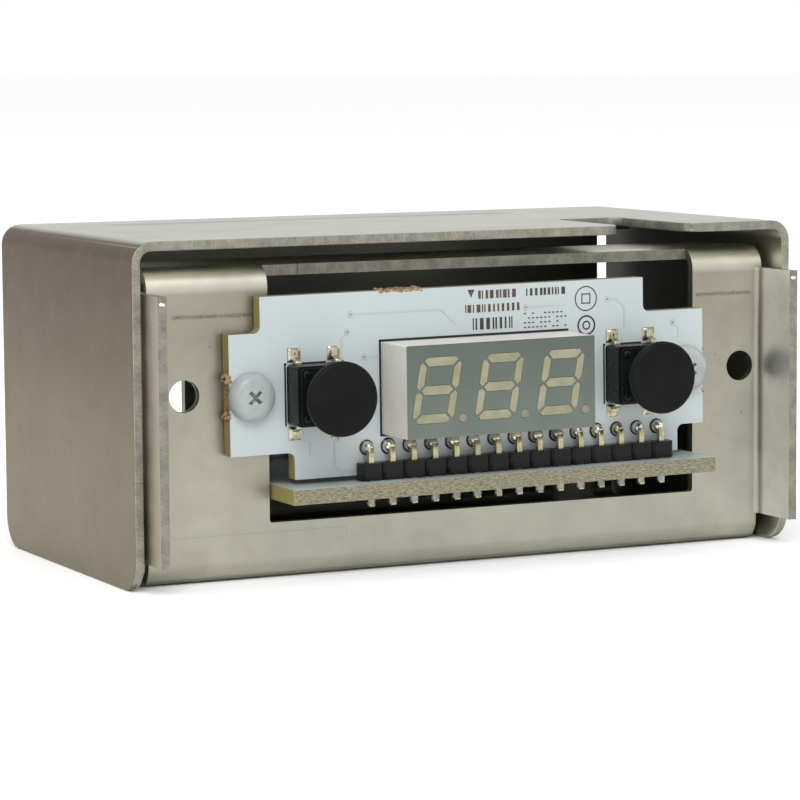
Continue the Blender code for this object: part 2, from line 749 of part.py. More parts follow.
def push_button(side_name, x, datum):
    """One tactile switch with its cap. Distances run from the board towards the front."""

    def ahead(distance):
        return BOARD_FRONT - distance

    centre = (x, BUTTON_LINE)
    half = BASE_WIDTH / 2
    outline = rectangle(x - half, x + half, BUTTON_LINE - half, BUTTON_LINE + half, BASE_CORNER)
    name = f"{side_name}_switch_base"
    base = prism(name, outline, "Y", ahead(BASE_FRONT), ahead(BASE_BACK), "black_plastic", datum)
    outline = circle(*centre, CAVITY_DIAMETER)
    name = f"{side_name}_cavity_cutter"
    cut(base, prism(name, outline, "Y", ahead(BASE_FRONT + 1), ahead(CAVITY_FLOOR), parent=datum))
    half = COVER_WIDTH / 2
    outline = rectangle(x - half, x + half, BUTTON_LINE - half, BUTTON_LINE + half, BASE_CORNER)
    cover_back = ahead(BASE_FRONT + 0.1)
    cover_front = cover_back - COVER_THICKNESS
    name = f"{side_name}_switch_cover"
    cover = prism(name, outline, "Y", cover_front, cover_back, "black_plastic", datum)
    outline = circle(*centre, COVER_HOLE)
    name = f"{side_name}_cover_cutter"
    cut(cover, prism(name, outline, "Y", cover_front - 1, cover_back + 1, parent=datum))
    switch_terminals(side_name, x, base, datum)
    snap_dome(side_name, centre, datum)
    stem = STEM_DIAMETER / 2
    profile = [
        (0, ahead(STEM_FRONT)),
        (stem - 0.2, ahead(STEM_FRONT)),
        (stem, ahead(STEM_FRONT - 0.2)),
        (stem, ahead(STEM_FLANGE_FRONT)),
        (STEM_FLANGE / 2, ahead(STEM_FLANGE_FRONT)),
        (STEM_FLANGE / 2, ahead(STEM_FLANGE_BACK)),
        (0, ahead(STEM_FLANGE_BACK)),
    ]
    turned(f"{side_name}_stem", profile, centre, "brown_plastic", datum)
    cap = CAP_DIAMETER / 2
    shoulder = ahead(CAP_FRONT - CAP_THICKNESS)
    bore_end = ahead(STEM_FRONT + 0.2)
    profile = [
        (0, ahead(CAP_FRONT)),
        (cap - CAP_EDGE, ahead(CAP_FRONT)),
        (cap, ahead(CAP_FRONT - CAP_EDGE)),
        (cap, shoulder),
        (NECK_DIAMETER / 2, shoulder),
        (NECK_DIAMETER / 2, ahead(NECK_BACK)),
        (CAP_BORE / 2, ahead(NECK_BACK)),
        (CAP_BORE / 2, bore_end),
        (0, bore_end),
    ]
    turned(f"{side_name}_cap", profile, centre, "black_plastic", datum, CAP_SIDES)


def snap_dome(side_name, centre, datum):
    """A thin domed disc on the floor of the switch, under its stem."""
    rim = BOARD_FRONT - CAVITY_FLOOR - 0.1
    radius = DOME_DIAMETER / 2
    steps = 6
    outside = []
    inside = []
    for step in range(steps + 1):
        share = step / steps
        rise = DOME_RISE * (1 - share * share)
        outside.append((radius * share, rim - rise - DOME_THICKNESS))
        inside.append((radius * share, rim - rise))
    turned(f"{side_name}_dome", outside + inside[::-1], centre, "tinned_steel", datum)


def switch_terminals(side_name, x, base, datum):
    """Two strips through the switch's base, each bent down to a foot at both ends."""
    foot = BOARD_FRONT - 0.1
    raised = foot - TERMINAL_HEIGHT
    reach = TERMINAL_REACH
    path = [
        (foot, BUTTON_LINE + reach),
        (foot, BUTTON_LINE + TERMINAL_FOOT),
        (raised, BUTTON_LINE + BASE_WIDTH / 2 + 0.25),
        (raised, BUTTON_LINE - BASE_WIDTH / 2 - 0.25),
        (foot, BUTTON_LINE - TERMINAL_FOOT),
        (foot, BUTTON_LINE - reach),
    ]
    outline = folded(path[::-1], TERMINAL_THICKNESS, [TERMINAL_BEND] * 4)
    half = TERMINAL_WIDTH / 2
    slot = half + 0.1
    for letter, side in (("a", -1), ("b", 1)):
        middle = x + side * TERMINAL_SIDE
        low = (middle - slot, raised - TERMINAL_THICKNESS - 0.1, BUTTON_LINE - BASE_WIDTH)
        high = (middle + slot, raised + 0.1, BUTTON_LINE + BASE_WIDTH)
        cut(base, block(f"{side_name}_slot_cutter_{letter}", low, high, parent=datum))
        name = f"{side_name}_terminal_{letter}"
        prism(name, outline, "X", middle - half, middle + half, "tinned_steel", datum)


# ---------------------------------------------------------------- lower board's parts


def supports(datum):
    """Standoffs from the floor to the lower board, with a pin through each."""
    for name, x in zip(("left", "right"), SUPPORTS):
        floor = SHEET - BOARD_HEIGHT + x * math.tan(BOARD_ROLL) + 0.15
        body = SUPPORT_DIAMETER / 2
        pin = SUPPORT_PIN / 2
        levels = [
            (pin, floor - SHEET),
            (body, floor),
            (pin, LOWER_BOARD_BOTTOM - 0.15),
            (0, LOWER_BOARD_TOP + 1.0),
        ]
        stack(f"{name}_support", (x, SUPPORT_Y), levels, "white_plastic", datum)


def stack(name, centre, levels, finish_name, parent):
    """Round steps along Z: each (radius, height) starts a step, and the last one ends it."""
    shape = bmesh.new()
    profile = [(0, levels[0][1])]
    for (radius, bottom), (_, top) in zip(levels, levels[1:]):
        profile += [(radius, bottom), (radius, top)]
    profile.append((0, levels[-1][1]))
    x, y = centre
    ring = [shape.verts.new((x + radius, y, height)) for radius, height in profile]
    edges = [shape.edges.new(pair) for pair in zip(ring, ring[1:])]
    bmesh.ops.spin(
        shape,
        geom=ring + edges,
        cent=(x, y, 0),
        axis=(0, 0, 1),
        angle=2 * math.pi,
        steps=24,
        use_merge=True,
    )
    bmesh.ops.remove_doubles(shape, verts=shape.verts, dist=1e-4)
    made = add_object(name, shape, finish_name, parent)
    made.data.shade_smooth()
    made.data.set_sharp_from_angle(angle=math.radians(35))


def components(datum):
    """The chip, the regulator and the capacitors on the lower board."""
    seat = LOWER_BOARD_TOP + 0.1
    chips = (("control_chip", CHIP_SIZE, CHIP_PLACE), ("regulator", REGULATOR_SIZE, REGULATOR_PLACE))
    for name, (width, depth, height), (x, y) in chips:
        low = (x - width / 2, y - depth / 2, seat)
        high = (x + width / 2, y + depth / 2, seat + height)
        block(name, low, high, "black_plastic", datum)
    for index, (x, y, diameter, height) in enumerate(CAPACITORS):
        radius = diameter / 2
        levels = [(radius, seat), (radius - 0.3, seat + 1.0), (radius, seat + 1.4), (0, seat + height)]
        stack(f"capacitor_{index + 1}", (x, y), levels, "aluminium", datum)


def cable_socket(datum):
    bottom = LOWER_BOARD_TOP + 0.1
    top = bottom + SOCKET_HEIGHT
    low = (SOCKET_LEFT, SOCKET_FRONT, bottom)
    body = block("cable_socket", low, (SOCKET_RIGHT, SOCKET_BACK, top), "white_plastic", datum)
    low = (SOCKET_LEFT + SOCKET_WALL, SOCKET_FRONT + 2 * SOCKET_WALL, bottom + SOCKET_WALL)
    high = (SOCKET_RIGHT - SOCKET_WALL, SOCKET_BACK + 1, top - SOCKET_WALL)
    cut(body, block("socket_cavity_cutter", low, high, parent=datum))
    hole = BLOCK_HOLE / 2
    half = PIN_SIZE / 2
    path = [
        (SOCKET_BACK - 1.0, SOCKET_PIN_LINE + half),
        (SOCKET_PIN_Y - half, SOCKET_PIN_LINE + half),
        (SOCKET_PIN_Y - half, LOWER_BOARD_BOTTOM - PIN_TAIL),
    ]
    outline = folded(path, PIN_SIZE, [PIN_BEND])
    for index, x in enumerate(socket_pin_places()):
        low = (x - hole, SOCKET_FRONT - 1, SOCKET_PIN_LINE - hole)
        high = (x + hole, SOCKET_FRONT + 3, SOCKET_PIN_LINE + hole)
        cut(body, block(f"socket_hole_cutter_{index}", low, high, parent=datum))
        prism(f"socket_pin_{index + 1}", outline, "X", x - half, x + half, "tinned_steel", datum)


def main():
    clear_scene()
    datum = board_datum()
    outer_shell()
    chassis(datum)
    front_board(datum)
    connector_board(datum)
    header(datum)
    screws(datum)
    display(datum)
    push_button("left", -BUTTON_SIDE, datum)
    push_button("right", BUTTON_SIDE, datum)
    supports(datum)
    components(datum)
    cable_socket(datum)


main()
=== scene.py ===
"""Looks for the LED display and button module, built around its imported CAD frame.

Everything is in the CAD's frame: +X right, +Y back, +Z up. Sizes are in millimetres unless they say
otherwise. Places come from the boxes of the CAD nodes and from the constants below.
"""

import math
import random

import bmesh
import bpy
from mathutils import Matrix, Vector


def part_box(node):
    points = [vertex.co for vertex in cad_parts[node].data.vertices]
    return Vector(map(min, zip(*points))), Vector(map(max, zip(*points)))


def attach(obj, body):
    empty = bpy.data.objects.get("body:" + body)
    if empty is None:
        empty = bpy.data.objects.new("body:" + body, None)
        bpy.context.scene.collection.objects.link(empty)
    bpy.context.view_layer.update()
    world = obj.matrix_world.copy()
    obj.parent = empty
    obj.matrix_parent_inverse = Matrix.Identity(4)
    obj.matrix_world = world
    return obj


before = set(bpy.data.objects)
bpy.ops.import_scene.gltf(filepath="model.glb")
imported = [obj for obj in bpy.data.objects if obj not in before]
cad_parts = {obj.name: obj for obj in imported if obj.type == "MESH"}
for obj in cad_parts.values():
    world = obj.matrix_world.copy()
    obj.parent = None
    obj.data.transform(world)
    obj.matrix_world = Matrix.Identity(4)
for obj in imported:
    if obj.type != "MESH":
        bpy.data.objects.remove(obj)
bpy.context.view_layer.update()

MM = 0.001

# Camera
LENS = 149.8
SENSOR = 36.0
CAMERA_PLACE = (-163.04, -336.44, 55.92)
CAMERA_YAW = math.radians(25.93)
CAMERA_PITCH = math.radians(6.06)
CAMERA_ROLL = math.radians(-0.41)

# Studio, in metres and watts: each light's place, size and power
LIGHTS = {
    "key": ((-0.25, -0.75, 0.85), (0.7, 0.5), 7.0),
    "fill": ((-0.9, -0.1, 0.35), (0.5, 0.7), 1.2),
}
LIGHT_TARGET = (0, 0, 0.02)
FLOOR_RADIUS = 6.0
FLOOR_GAP = 0.00005
FLOOR_TONE = 0.97

# How bright the chassis's sheared edges and the mask over the tracks are, against the usual
CHASSIS_EDGE_SHADE = 0.76
RAISED_MASK_SHADE = 0.92

# Marks in the steel: heights, depths and places across, in the CAD's frame
SCRIBE_HEIGHT = 28.13
FAINT_LINE_HEIGHT = 5.0
FAINT_LINE_END = -14.3
NICK_ACROSS = -19.06
FOLD_CUT_DEPTH = -15.7
PANEL_LINE_HEIGHT = 11.5
TOP_LINE_ACROSS = -32.43
TOP_LINE_SLANT = -0.094
SOFT_LINE_DEPTH = 11.9
BURR_HEIGHT = 30.1

# Places on the front board, in board coordinates: u to the right and w up from the middle of the
# line of screws. The buttons' middles lie BUTTON_DROP below it.
BUTTON_DROP = 0.33
BOARD_TOP = 10.1
BOARD_SIDES = (-28.85, 28.4)
DISPLAY_OUTLINE = (-11.42, 11.3, -5.32, 4.8)
DIGIT_PITCH = 7.4
POINT_PLACE = (2.68, -3.28)
SWITCH_OUTLINE = 3.33
TERMINAL_SIDE = 2.3
TERMINAL_PAD = 4.15
PAD_HALF = 0.76
RIVET_SIDE = 2.35

# Thicknesses: half of the connector board, a pin, and how far prints sink in and stand out
HALF_BOARD = 0.8
PIN_SIZE = 0.64
PRINT_SUNK = 0.005
PRINT_HEIGHT = 0.02

# Copper tracks under the mask, each a run of points on the front board
TRACKS = (
    ((-14.8, 7.75), (-4.1, 7.75), (-2.4, 6.1)),
    ((-13.3, 3.15), (-11.6, 3.15)),
    ((-15.2, 5.9), (-15.9, 5.2), (-15.9, 3.4)),
    ((-16.5, -5.3), (-16.9, -5.7), (-16.9, -8.2), (-16.2, -8.9), (-14.6, -8.9)),
    ((-20.9, -4.9), (-19.7, -5.6), (-19.7, -6.8)),
    ((16.3, 7.9), (17.4, 7.9), (18.45, 6.9), (18.45, 4.7)),
    ((6.2, 7.5), (11.1, 7.5)),
    ((24.6, 4.9), (25.3, 4.2), (25.3, 3.3)),
)

# Rows of printed strokes: first u, last u, middle w and height
BROWN_STROKES = ((0.4, 5.0, 9.12, 0.9), (-1.2, 5.2, 7.64, 0.85))
DARK_STROKES = ((-0.3, 4.6, 5.97, 1.25), (6.25, 10.6, 9.12, 0.8))
TRIANGLE = ((-0.9, 9.7), (-0.05, 9.7), (-0.47, 8.85))
BROWN_RING = (13.62, 8.08)
DARK_RING = (13.65, 5.15)
DOT_CORNER = (6.0, 5.3)
DOT_PITCH = 0.5
DOT_SHARE = 0.62

# Turned solder as (radius, distance from the board): round a pin in front of the front board, and
# round a tail, where the distances are shares of the tail's length
CONE = (
    (0, -0.01), (0.80, -0.01), (0.80, 0.02), (0.74, 0.05), (0.68, 0.12), (0.645, 0.25),
    (0.62, 0.42), (0.575, 0.60), (0.50, 0.76), (0.40, 0.89), (0.24, 0.98), (0, 1.02),
)
TAIL = (
    (0, -0.01), (0.62, -0.01), (0.60, 0.05), (0.52, 0.2),
    (0.48, 0.5), (0.46, 0.8), (0.38, 0.95), (0, 1.0),
)

# Where each piece's random draws start
SEEDS = {
    "header_solder": 11,
    "tail_solder": 5,
    "switch_solder": 3,
    "board_marks": 23,
    "torn_edges": 41,
    "flange_burrs": 8,
}

# Bevels on the CAD's pieces: the radius of each kind of edge, and of any other piece's
PLAIN_EDGE = 0.05
EDGE_RADII = {
    "outer_shell": 0.12,
    "chassis": 0.10,
    "front_board": 0.04,
    "connector_board": 0.05,
    "display_housing": 0.06,
    "display_segments": 0.03,
    "header_block": 0.06,
    "header_pin": 0.05,
    "nut": 0.15,
    "switch_base": 0.10,
    "switch_cover": 0.05,
    "terminal": 0.03,
    "stem": 0.05,
    "dome": 0.02,
    "support": 0.15,
    "control_chip": 0.10,
    "regulator": 0.10,
    "capacitor": 0.15,
    "cable_socket": 0.12,
    "socket_pin": 0.05,
}


# ---------------------------------------------------------------- materials


class Surface:
    """A material whose node tree grows by calls that each return an output socket."""

    def __init__(self, name):
        self.material = bpy.data.materials.new(name)
        self.material.use_nodes = True
        self.tree = self.material.node_tree
        self.shader = self.tree.nodes["Principled BSDF"]
        places = self.node("ShaderNodeTexCoord", "Object")
        self.place = self.times(places, 1 / MM)
        self.normal = self.node("ShaderNodeTexCoord", "Normal")

    def node(self, kind, output, **given):
        """Adds a node. A key with a capital first letter is an input; any other key is a setting."""
        made = self.tree.nodes.new(kind)
        for key, value in given.items():
            if key[0].islower():
                setattr(made, key, value)
        for key, value in given.items():
            if not key[0].islower():
                self.feed(made.inputs[key.replace("_", " ")], value)
        return made.outputs[output]

    def feed(self, socket, value):
        if isinstance(value, bpy.types.NodeSocket):
            self.tree.links.new(value, socket)
        else:
            socket.default_value = value

    def set(self, **inputs):
        for key, value in inputs.items():
            self.feed(self.shader.inputs[key.replace("_", " ")], value)
        return self

    def math(self, operation, first, second=0.0):
        made = self.tree.nodes.new("ShaderNodeMath")
        made.operation = operation
        self.feed(made.inputs[0], first)
        self.feed(made.inputs[1], second)
        return made.outputs[0]

    def axis(self, vector, index):
        return self.node("ShaderNodeSeparateXYZ", index, Vector=vector)

    def across(self):
        return self.axis(self.place, 0)

    def depth(self):
        return self.axis(self.place, 1)

    def height(self):
        return self.axis(self.place, 2)

    def facing(self, index):
        """How squarely the surface faces along an axis, either way: 0 to 1."""
        return self.math("ABSOLUTE", self.axis(self.normal, index))

    def scale(self, value, low, high, start, end):
        """start below low and end above high, even in between."""
        limits = {"From_Min": low, "From_Max": high, "To_Min": start, "To_Max": end}
        return self.node("ShaderNodeMapRange", 0, clamp=True, Value=value, **limits)

    def where(self, value, low, high):
        """0 below low and 1 above high; the other way round if low is above high."""
        return self.scale(value, low, high, 0.0, 1.0)

    def noise(self, size, detail=2.0, roughness=0.5, stretch=(1, 1, 1), offset=(0, 0, 0)):
        """Noise whose features are about size millimetres, longer along an axis that is stretched."""
        factors = tuple(1 / (size * part) for part in stretch)
        spot = self.node("ShaderNodeMapping", 0, Vector=self.place, Scale=factors, Location=offset)
        grain = {"Scale": 1.0, "Detail": detail, "Roughness": roughness}
        return self.node("ShaderNodeTexNoise", 0, Vector=spot, **grain)

    def specks(self, spacing, size, seed, share):
        """Round specks of a size, on a share of the cells of that spacing."""
        factors = (1 / spacing,) * 3
        spot = self.node("ShaderNodeMapping", 0, Vector=self.place, Scale=factors, Location=(seed,) * 3)
        cell = self.tree.nodes.new("ShaderNodeTexVoronoi")
        self.feed(cell.inputs["Vector"], spot)
        self.feed(cell.inputs["Scale"], 1.0)
        near = self.where(cell.outputs["Distance"], size / spacing, 0.5 * size / spacing)
        chance = self.axis(cell.outputs["Color"], 0)
        return self.math("MULTIPLY", near, self.where(chance, share + 0.001, share))

    def mix(self, factor, first, second):
        return self.node("ShaderNodeMixRGB", 0, Fac=factor, Color1=first, Color2=second)

    def times(self, tint, factor):
        """A colour made darker or brighter by a factor."""
        return self.node("ShaderNodeVectorMath", "Vector", operation="SCALE", Vector=tint, Scale=factor)

    def near(self, value, centre, reach, soft):
        """1 within reach of centre, falling to 0 over a soft distance."""
        away = self.math("ABSOLUTE", self.math("SUBTRACT", value, centre))
        return self.where(away, reach + soft, reach)

    def bump(self, height, distance, under=None):
        """Height is a socket in 0 to 1, and distance is how high 1 stands. under is another bump."""
        given = {"Height": height, "Distance": distance * MM, "Strength": 1.0}
        if under is not None:
            given["Normal"] = under
        return self.node("ShaderNodeBump", 0, **given)


def grey(value):
    return (value, value, value, 1.0)


def colour(red, green, blue):
    return (red, green, blue, 1.0)


def steel(name, edge_mask, stripe_split, tint, lines, edge_shade=1.0):
    """Mill-finish stainless sheet.

    edge_mask finds its sheared edges, and stripe_split those that run across and not up. tint sets each
    face's tone, lines are marks in it, and edge_shade darkens the sheared edges.
    """
    dark_line = colour(0.10, 0.092, 0.078)
    s = Surface(name)
    cloud = s.noise(7.0, 4, 0.6)
    fine = s.noise(0.35, 3, 0.6)
    streak = s.noise(1.1, 3, 0.6, stretch=(1, 1, 26))
    rub = s.noise(2.6, 4, 0.7, offset=(4, 1, 7))
    tone = s.math("ADD", s.math("MULTIPLY", streak, 0.07), s.math("MULTIPLY", cloud, 0.60))
    tone = s.math("ADD", tone, s.math("MULTIPLY", rub, 0.33))
    shade = s.scale(tone, 0.36, 0.64, 0.90, 1.10)
    face = s.times(tint(s), shade)
    marks = s.specks(3.4, 0.13, 3.0, 0.5)
    face = s.mix(s.math("MULTIPLY", marks, 0.85), face, colour(0.10, 0.088, 0.07))
    face = s.mix(lines(s), face, dark_line)

    edges = edge_mask(s)
    along_z = s.noise(0.06, 3, 0.7, stretch=(1, 4, 9))
    along_x = s.noise(0.06, 3, 0.7, stretch=(9, 4, 1))
    shear = s.mix(stripe_split(s), along_x, along_z)
    patch = s.noise(1.8, 3, 0.6, offset=(3, 3, 3))
    sheared_edge_and_painted_shade = s.mix(s.where(shear, 0.34, 0.66), colour(0.240, 0.223, 0.187), colour(0.42, 0.402, 0.335))
    # Painted shade: the sheared edges darken towards the top, from 30 mm up.
    sheared_edge_and_painted_shade = s.times(sheared_edge_and_painted_shade, s.scale(s.height(), 30, 32.5, 1.0, 0.78))
    sheared_edge_and_painted_shade = s.times(sheared_edge_and_painted_shade, s.scale(patch, 0.35, 0.65, 0.84 * edge_shade, 1.2 * edge_shade))
    sheared_edge_and_painted_shade = s.mix(s.math("MULTIPLY", lines(s), 0.8), sheared_edge_and_painted_shade, dark_line)

    uneven = s.math("ADD", s.math("MULTIPLY", rub, 0.6), s.math("MULTIPLY", fine, 0.4))
    roughness = s.scale(uneven, 0.3, 0.7, 0.34, 0.47)
    roughness = s.mix(edges, roughness, s.scale(shear, 0.3, 0.7, 0.42, 0.58))
    grain = s.bump(streak, 0.003)
    grain = s.bump(fine, 0.0025, under=grain)
    rough_edge = s.bump(s.math("MULTIPLY", shear, edges), 0.03, under=grain)
    s.set(
        Base_Color=s.mix(edges, face, sheared_edge_and_painted_shade),
        Metallic=1.0,
        Roughness=roughness,
        Normal=rough_edge,
    )
    return s


def either(s, *masks):
    """Where any of the masks is."""
    total = masks[0]
    for mask in masks[1:]:
        total = s.math("MAXIMUM", total, mask)
    return total


def both(s, *masks):
    """Where all of the masks are."""
    total = masks[0]
    for mask in masks[1:]:
        total = s.math("MULTIPLY", total, mask)
    return total


def shell_edges(s):
    """The front and rear edges, the two feet and the sides of the slot."""
    facing = s.where(s.facing(1), 0.5, 0.8)
    feet = both(s, s.where(s.height(), 0.4, 0.2), s.where(s.axis(s.normal, 2), -0.5, -0.8))
    slot = both(
        s,
        s.where(s.height(), 35.2, 35.3),
        s.where(s.facing(0), 0.5, 0.8),
        s.where(s.math("ABSOLUTE", s.across()), 36.0, 35.0),
    )
    return either(s, facing, feet, slot)


def chassis_edges(s):
    """The flanges' front edges, the window's sides and the cut through the top fold."""
    depth = s.depth()
    height = s.height()
    side = s.math("ABSOLUTE", s.across())
    frontward = s.where(s.facing(1), 0.5, 0.8)
    sideward = s.where(s.facing(0), 0.6, 0.9)
    flange = both(s, frontward, s.where(depth, -23.4, -23.6))
    fold = both(s, frontward, s.where(height, 31.8, 31.9), s.near(depth, FOLD_CUT_DEPTH, 0.1, 0.1))
    window = both(s, sideward, s.where(side, 30.0, 29.5))
    return either(s, flange, fold, window)


def shell_tint(s):
    """Brown sides, darker towards their tops, a pale top with a soft line across, and painted light and
    shade inside: pale near the front, darkening towards the back.
    """
    height = s.height()
    depth = s.depth()
    outside = s.where(s.math("ABSOLUTE", s.across()), 38.6, 38.9)
    low = s.mix(s.where(height, 3, 20), colour(0.186, 0.158, 0.102), colour(0.163, 0.135, 0.078))
    side = s.mix(s.where(height, 16, 35), low, colour(0.084, 0.053, 0.026))
    top = s.mix(s.where(height, 35.9, 36.25), side, colour(0.43, 0.43, 0.375))
    soft_line = both(s, s.near(depth, SOFT_LINE_DEPTH, 0.2, 2.2), s.where(s.across(), 22, 18))
    soft_line = both(s, soft_line, s.where(s.across(), -31, -28), s.where(height, 36.0, 36.2))
    top = s.mix(s.math("MULTIPLY", soft_line, 0.55), top, colour(0.17, 0.165, 0.14))
    # Painted shade inside the shell, deepening towards the back, and painted light on its inner faces
    # near the front.
    painted_inner_shade = s.mix(s.where(depth, 2, 12), colour(0.17, 0.172, 0.135), colour(0.03, 0.029, 0.024))
    inner = s.mix(s.where(depth, -4, -17), painted_inner_shade, colour(0.60, 0.59, 0.48))
    shown = either(s, outside, s.where(height, 35.5, 35.8))
    return s.mix(shown, inner, top)


def chassis_tint(s):
    """Warm grey in front and darker towards the top, with a painted highlight along the top fold,
    reddish on the left flange, bluish on the right one, and painted shade inside.
    """
    side = s.across()
    depth = s.depth()
    height = s.height()
    sideward = s.where(s.facing(0), 0.5, 0.8)
    plate = s.mix(s.where(height, 6, 26), colour(0.395, 0.380, 0.312), colour(0.318, 0.296, 0.236))
    # Painted highlight along the plate's top fold.
    bend = s.math("MULTIPLY", s.near(height, 32.3, 0.4, 1.4), 0.85)
    plate = s.mix(bend, plate, colour(0.80, 0.78, 0.68))
    flange = s.mix(s.where(side, -1, 1), colour(0.42, 0.375, 0.315), colour(0.92, 0.95, 0.95))
    flange = s.mix(s.where(side, 37.6, 38.0), flange, colour(0.32, 0.31, 0.27))
    front = s.mix(s.math("MULTIPLY", sideward, s.where(depth, -17.6, -18.6)), plate, flange)
    # Painted shade on the chassis's inner faces, except along the top fold.
    inside = both(s, s.where(depth, -16.6, -16.3), s.where(depth, 18.8, 18.4))
    inside = both(s, inside, s.where(height, 0.2, 0.6))
    fold = both(s, s.where(height, 31.6, 32.0), s.where(depth, -5.0, -6.5))
    inside = s.math("MULTIPLY", inside, s.math("SUBTRACT", 1.0, fold))
    return s.mix(inside, front, colour(0.18, 0.182, 0.150))


def shell_lines(s):
    """A faint line round the left panel's front edge, and one beside the left bend on top."""
    side = s.across()
    height = s.height()
    round_edge = both(s, s.near(height, PANEL_LINE_HEIGHT, 0.02, 0.05), s.where(side, -37.5, -37.9))
    round_edge = both(s, round_edge, s.where(s.depth(), -18.5, -19.4))
    slanted = s.math("ADD", side, s.math("MULTIPLY", s.depth(), TOP_LINE_SLANT))
    beside = both(s, s.near(slanted, TOP_LINE_ACROSS, 0.03, 0.09), s.where(height, 36.1, 36.25))
    beside = both(s, beside, s.where(s.depth(), 3.0, 1.5))
    return either(s, s.math("MULTIPLY", round_edge, 0.7), s.math("MULTIPLY", beside, 0.35))


def chassis_lines(s):
    """Two ragged scribed lines, a faint one low on the plate, and a nick in the top fold's cut edge."""
    side = s.across()
    ragged = s.scale(s.noise(0.5, 3, 0.7), 0.3, 0.7, -0.05, 0.05)
    height = s.math("ADD", s.height(), ragged)
    front = s.where(s.depth(), -17.0, -17.15)
    left = both(s, s.where(side, -34.1, -33.9), s.where(side, -24.8, -25.0))
    right = both(s, s.where(side, 28.9, 29.1), s.where(side, 36.3, 36.1))
    scribed = both(s, s.near(height, SCRIBE_HEIGHT, 0.12, 0.14), either(s, left, right), front)
    long_line = both(s, s.near(height, FAINT_LINE_HEIGHT, 0.01, 0.06), s.where(side, -34.4, -34.2))
    long_line = both(s, long_line, s.where(side, -14.2, -14.4))
    end_line = both(s, s.near(side, FAINT_LINE_END, 0.01, 0.05), s.near(height, 4.4, 0.6, 0.05))
    faint = s.math("MULTIPLY", either(s, long_line, end_line), 0.22)
    nick = both(s, s.near(side, NICK_ACROSS, 0.07, 0.06), s.near(s.depth(), FOLD_CUT_DEPTH, 0.1, 0.1))
    nick = both(s, nick, s.where(height, 32.0, 32.2))
    wear = s.scale(s.noise(0.16, 3, 0.8, stretch=(1.4, 1, 1)), 0.38, 0.62, 0.25, 0.8)
    worn = s.math("MULTIPLY", front, either(s, s.math("MULTIPLY", scribed, wear), faint))
    return either(s, worn, nick)


def on_top(s):
    """The shell's edges that run across lie round its top panel."""
    return s.where(s.height(), 34.9, 35.1)


def on_fold(s):
    """The chassis's edges that run across lie on its top fold."""
    return s.where(s.height(), 31.2, 31.4)


def board(name, across, shade=1.0):
    """White solder mask over glass-epoxy, bare at its edges. across is the axis through the board."""
    s = Surface(name)
    side = s.where(s.facing(across), 0.75, 0.55)
    stretch = (6, 1, 6) if across == 1 else (6, 6, 1)
    layers = s.noise(0.10, 3, 0.7, stretch=stretch)
    weave = s.noise(0.16, 3, 0.8, stretch=(1.8, 1.8, 1))
    cut = s.mix(s.where(layers, 0.40, 0.60), colour(0.120, 0.100, 0.058), colour(0.265, 0.250, 0.172))
    cut = s.mix(s.math("MULTIPLY", s.where(weave, 0.52, 0.68), 0.65), cut, colour(0.40, 0.385, 0.315))
    left_end = s.where(s.axis(s.normal, 0), -0.4, -0.8)
    cut = s.mix(s.math("MULTIPLY", left_end, 0.62), cut, colour(0.34, 0.28, 0.08))
    cloud = s.noise(11.0, 3)
    mask = s.mix(cloud, colour(0.395, 0.450, 0.462), colour(0.455, 0.505, 0.508))
    white = s.times(mask, shade)
    dust = s.specks(6.5, 0.10, 9.0, 0.4)
    white = s.mix(s.math("MULTIPLY", dust, 0.35), white, colour(0.16, 0.15, 0.14))
    peel = s.bump(s.noise(0.6, 2), 0.004)
    s.set(
        Base_Color=s.mix(side, white, cut),
        Roughness=s.mix(side, s.scale(cloud, 0.3, 0.7, 0.32, 0.42), grey(0.75)),
        Normal=s.bump(s.math("MULTIPLY", layers, side), 0.03, under=peel),
        Specular_IOR_Level=s.mix(side, grey(0.45), grey(0.2)),
    )
    return s


def display_plastic(name, face):
    """A cream moulding whose front has a printed grey face, lightened towards its foot by painted
    light. face is the depth of the face.
    """
    s = Surface(name)
    front = s.where(s.depth(), face + 0.05, face + 0.02)
    fine = s.noise(0.25, 3, 0.6)
    cloud = s.noise(5.0, 3)
    height = s.where(s.height(), 15, 25)
    cream = s.mix(height, colour(0.66, 0.60, 0.565), colour(0.60, 0.59, 0.545))
    cream = s.times(cream, s.scale(cloud, 0.35, 0.65, 0.94, 1.06))
    printed = s.mix(fine, colour(0.074, 0.092, 0.078), colour(0.090, 0.109, 0.092))
    printed = s.times(printed, s.scale(cloud, 0.35, 0.65, 0.95, 1.05))
    # Painted light: the printed face is lightened towards its foot.
    printed = s.times(printed, s.scale(s.height(), 14, 25, 1.42, 1.0))
    s.set(
        Base_Color=s.mix(front, cream, printed),
        Roughness=s.mix(front, grey(0.45), s.scale(fine, 0.3, 0.7, 0.42, 0.55)),
        Normal=s.bump(fine, 0.006),
        Specular_IOR_Level=0.3,
        Subsurface_Weight=0.05,
        Subsurface_Scale=0.001,
    )
    return s


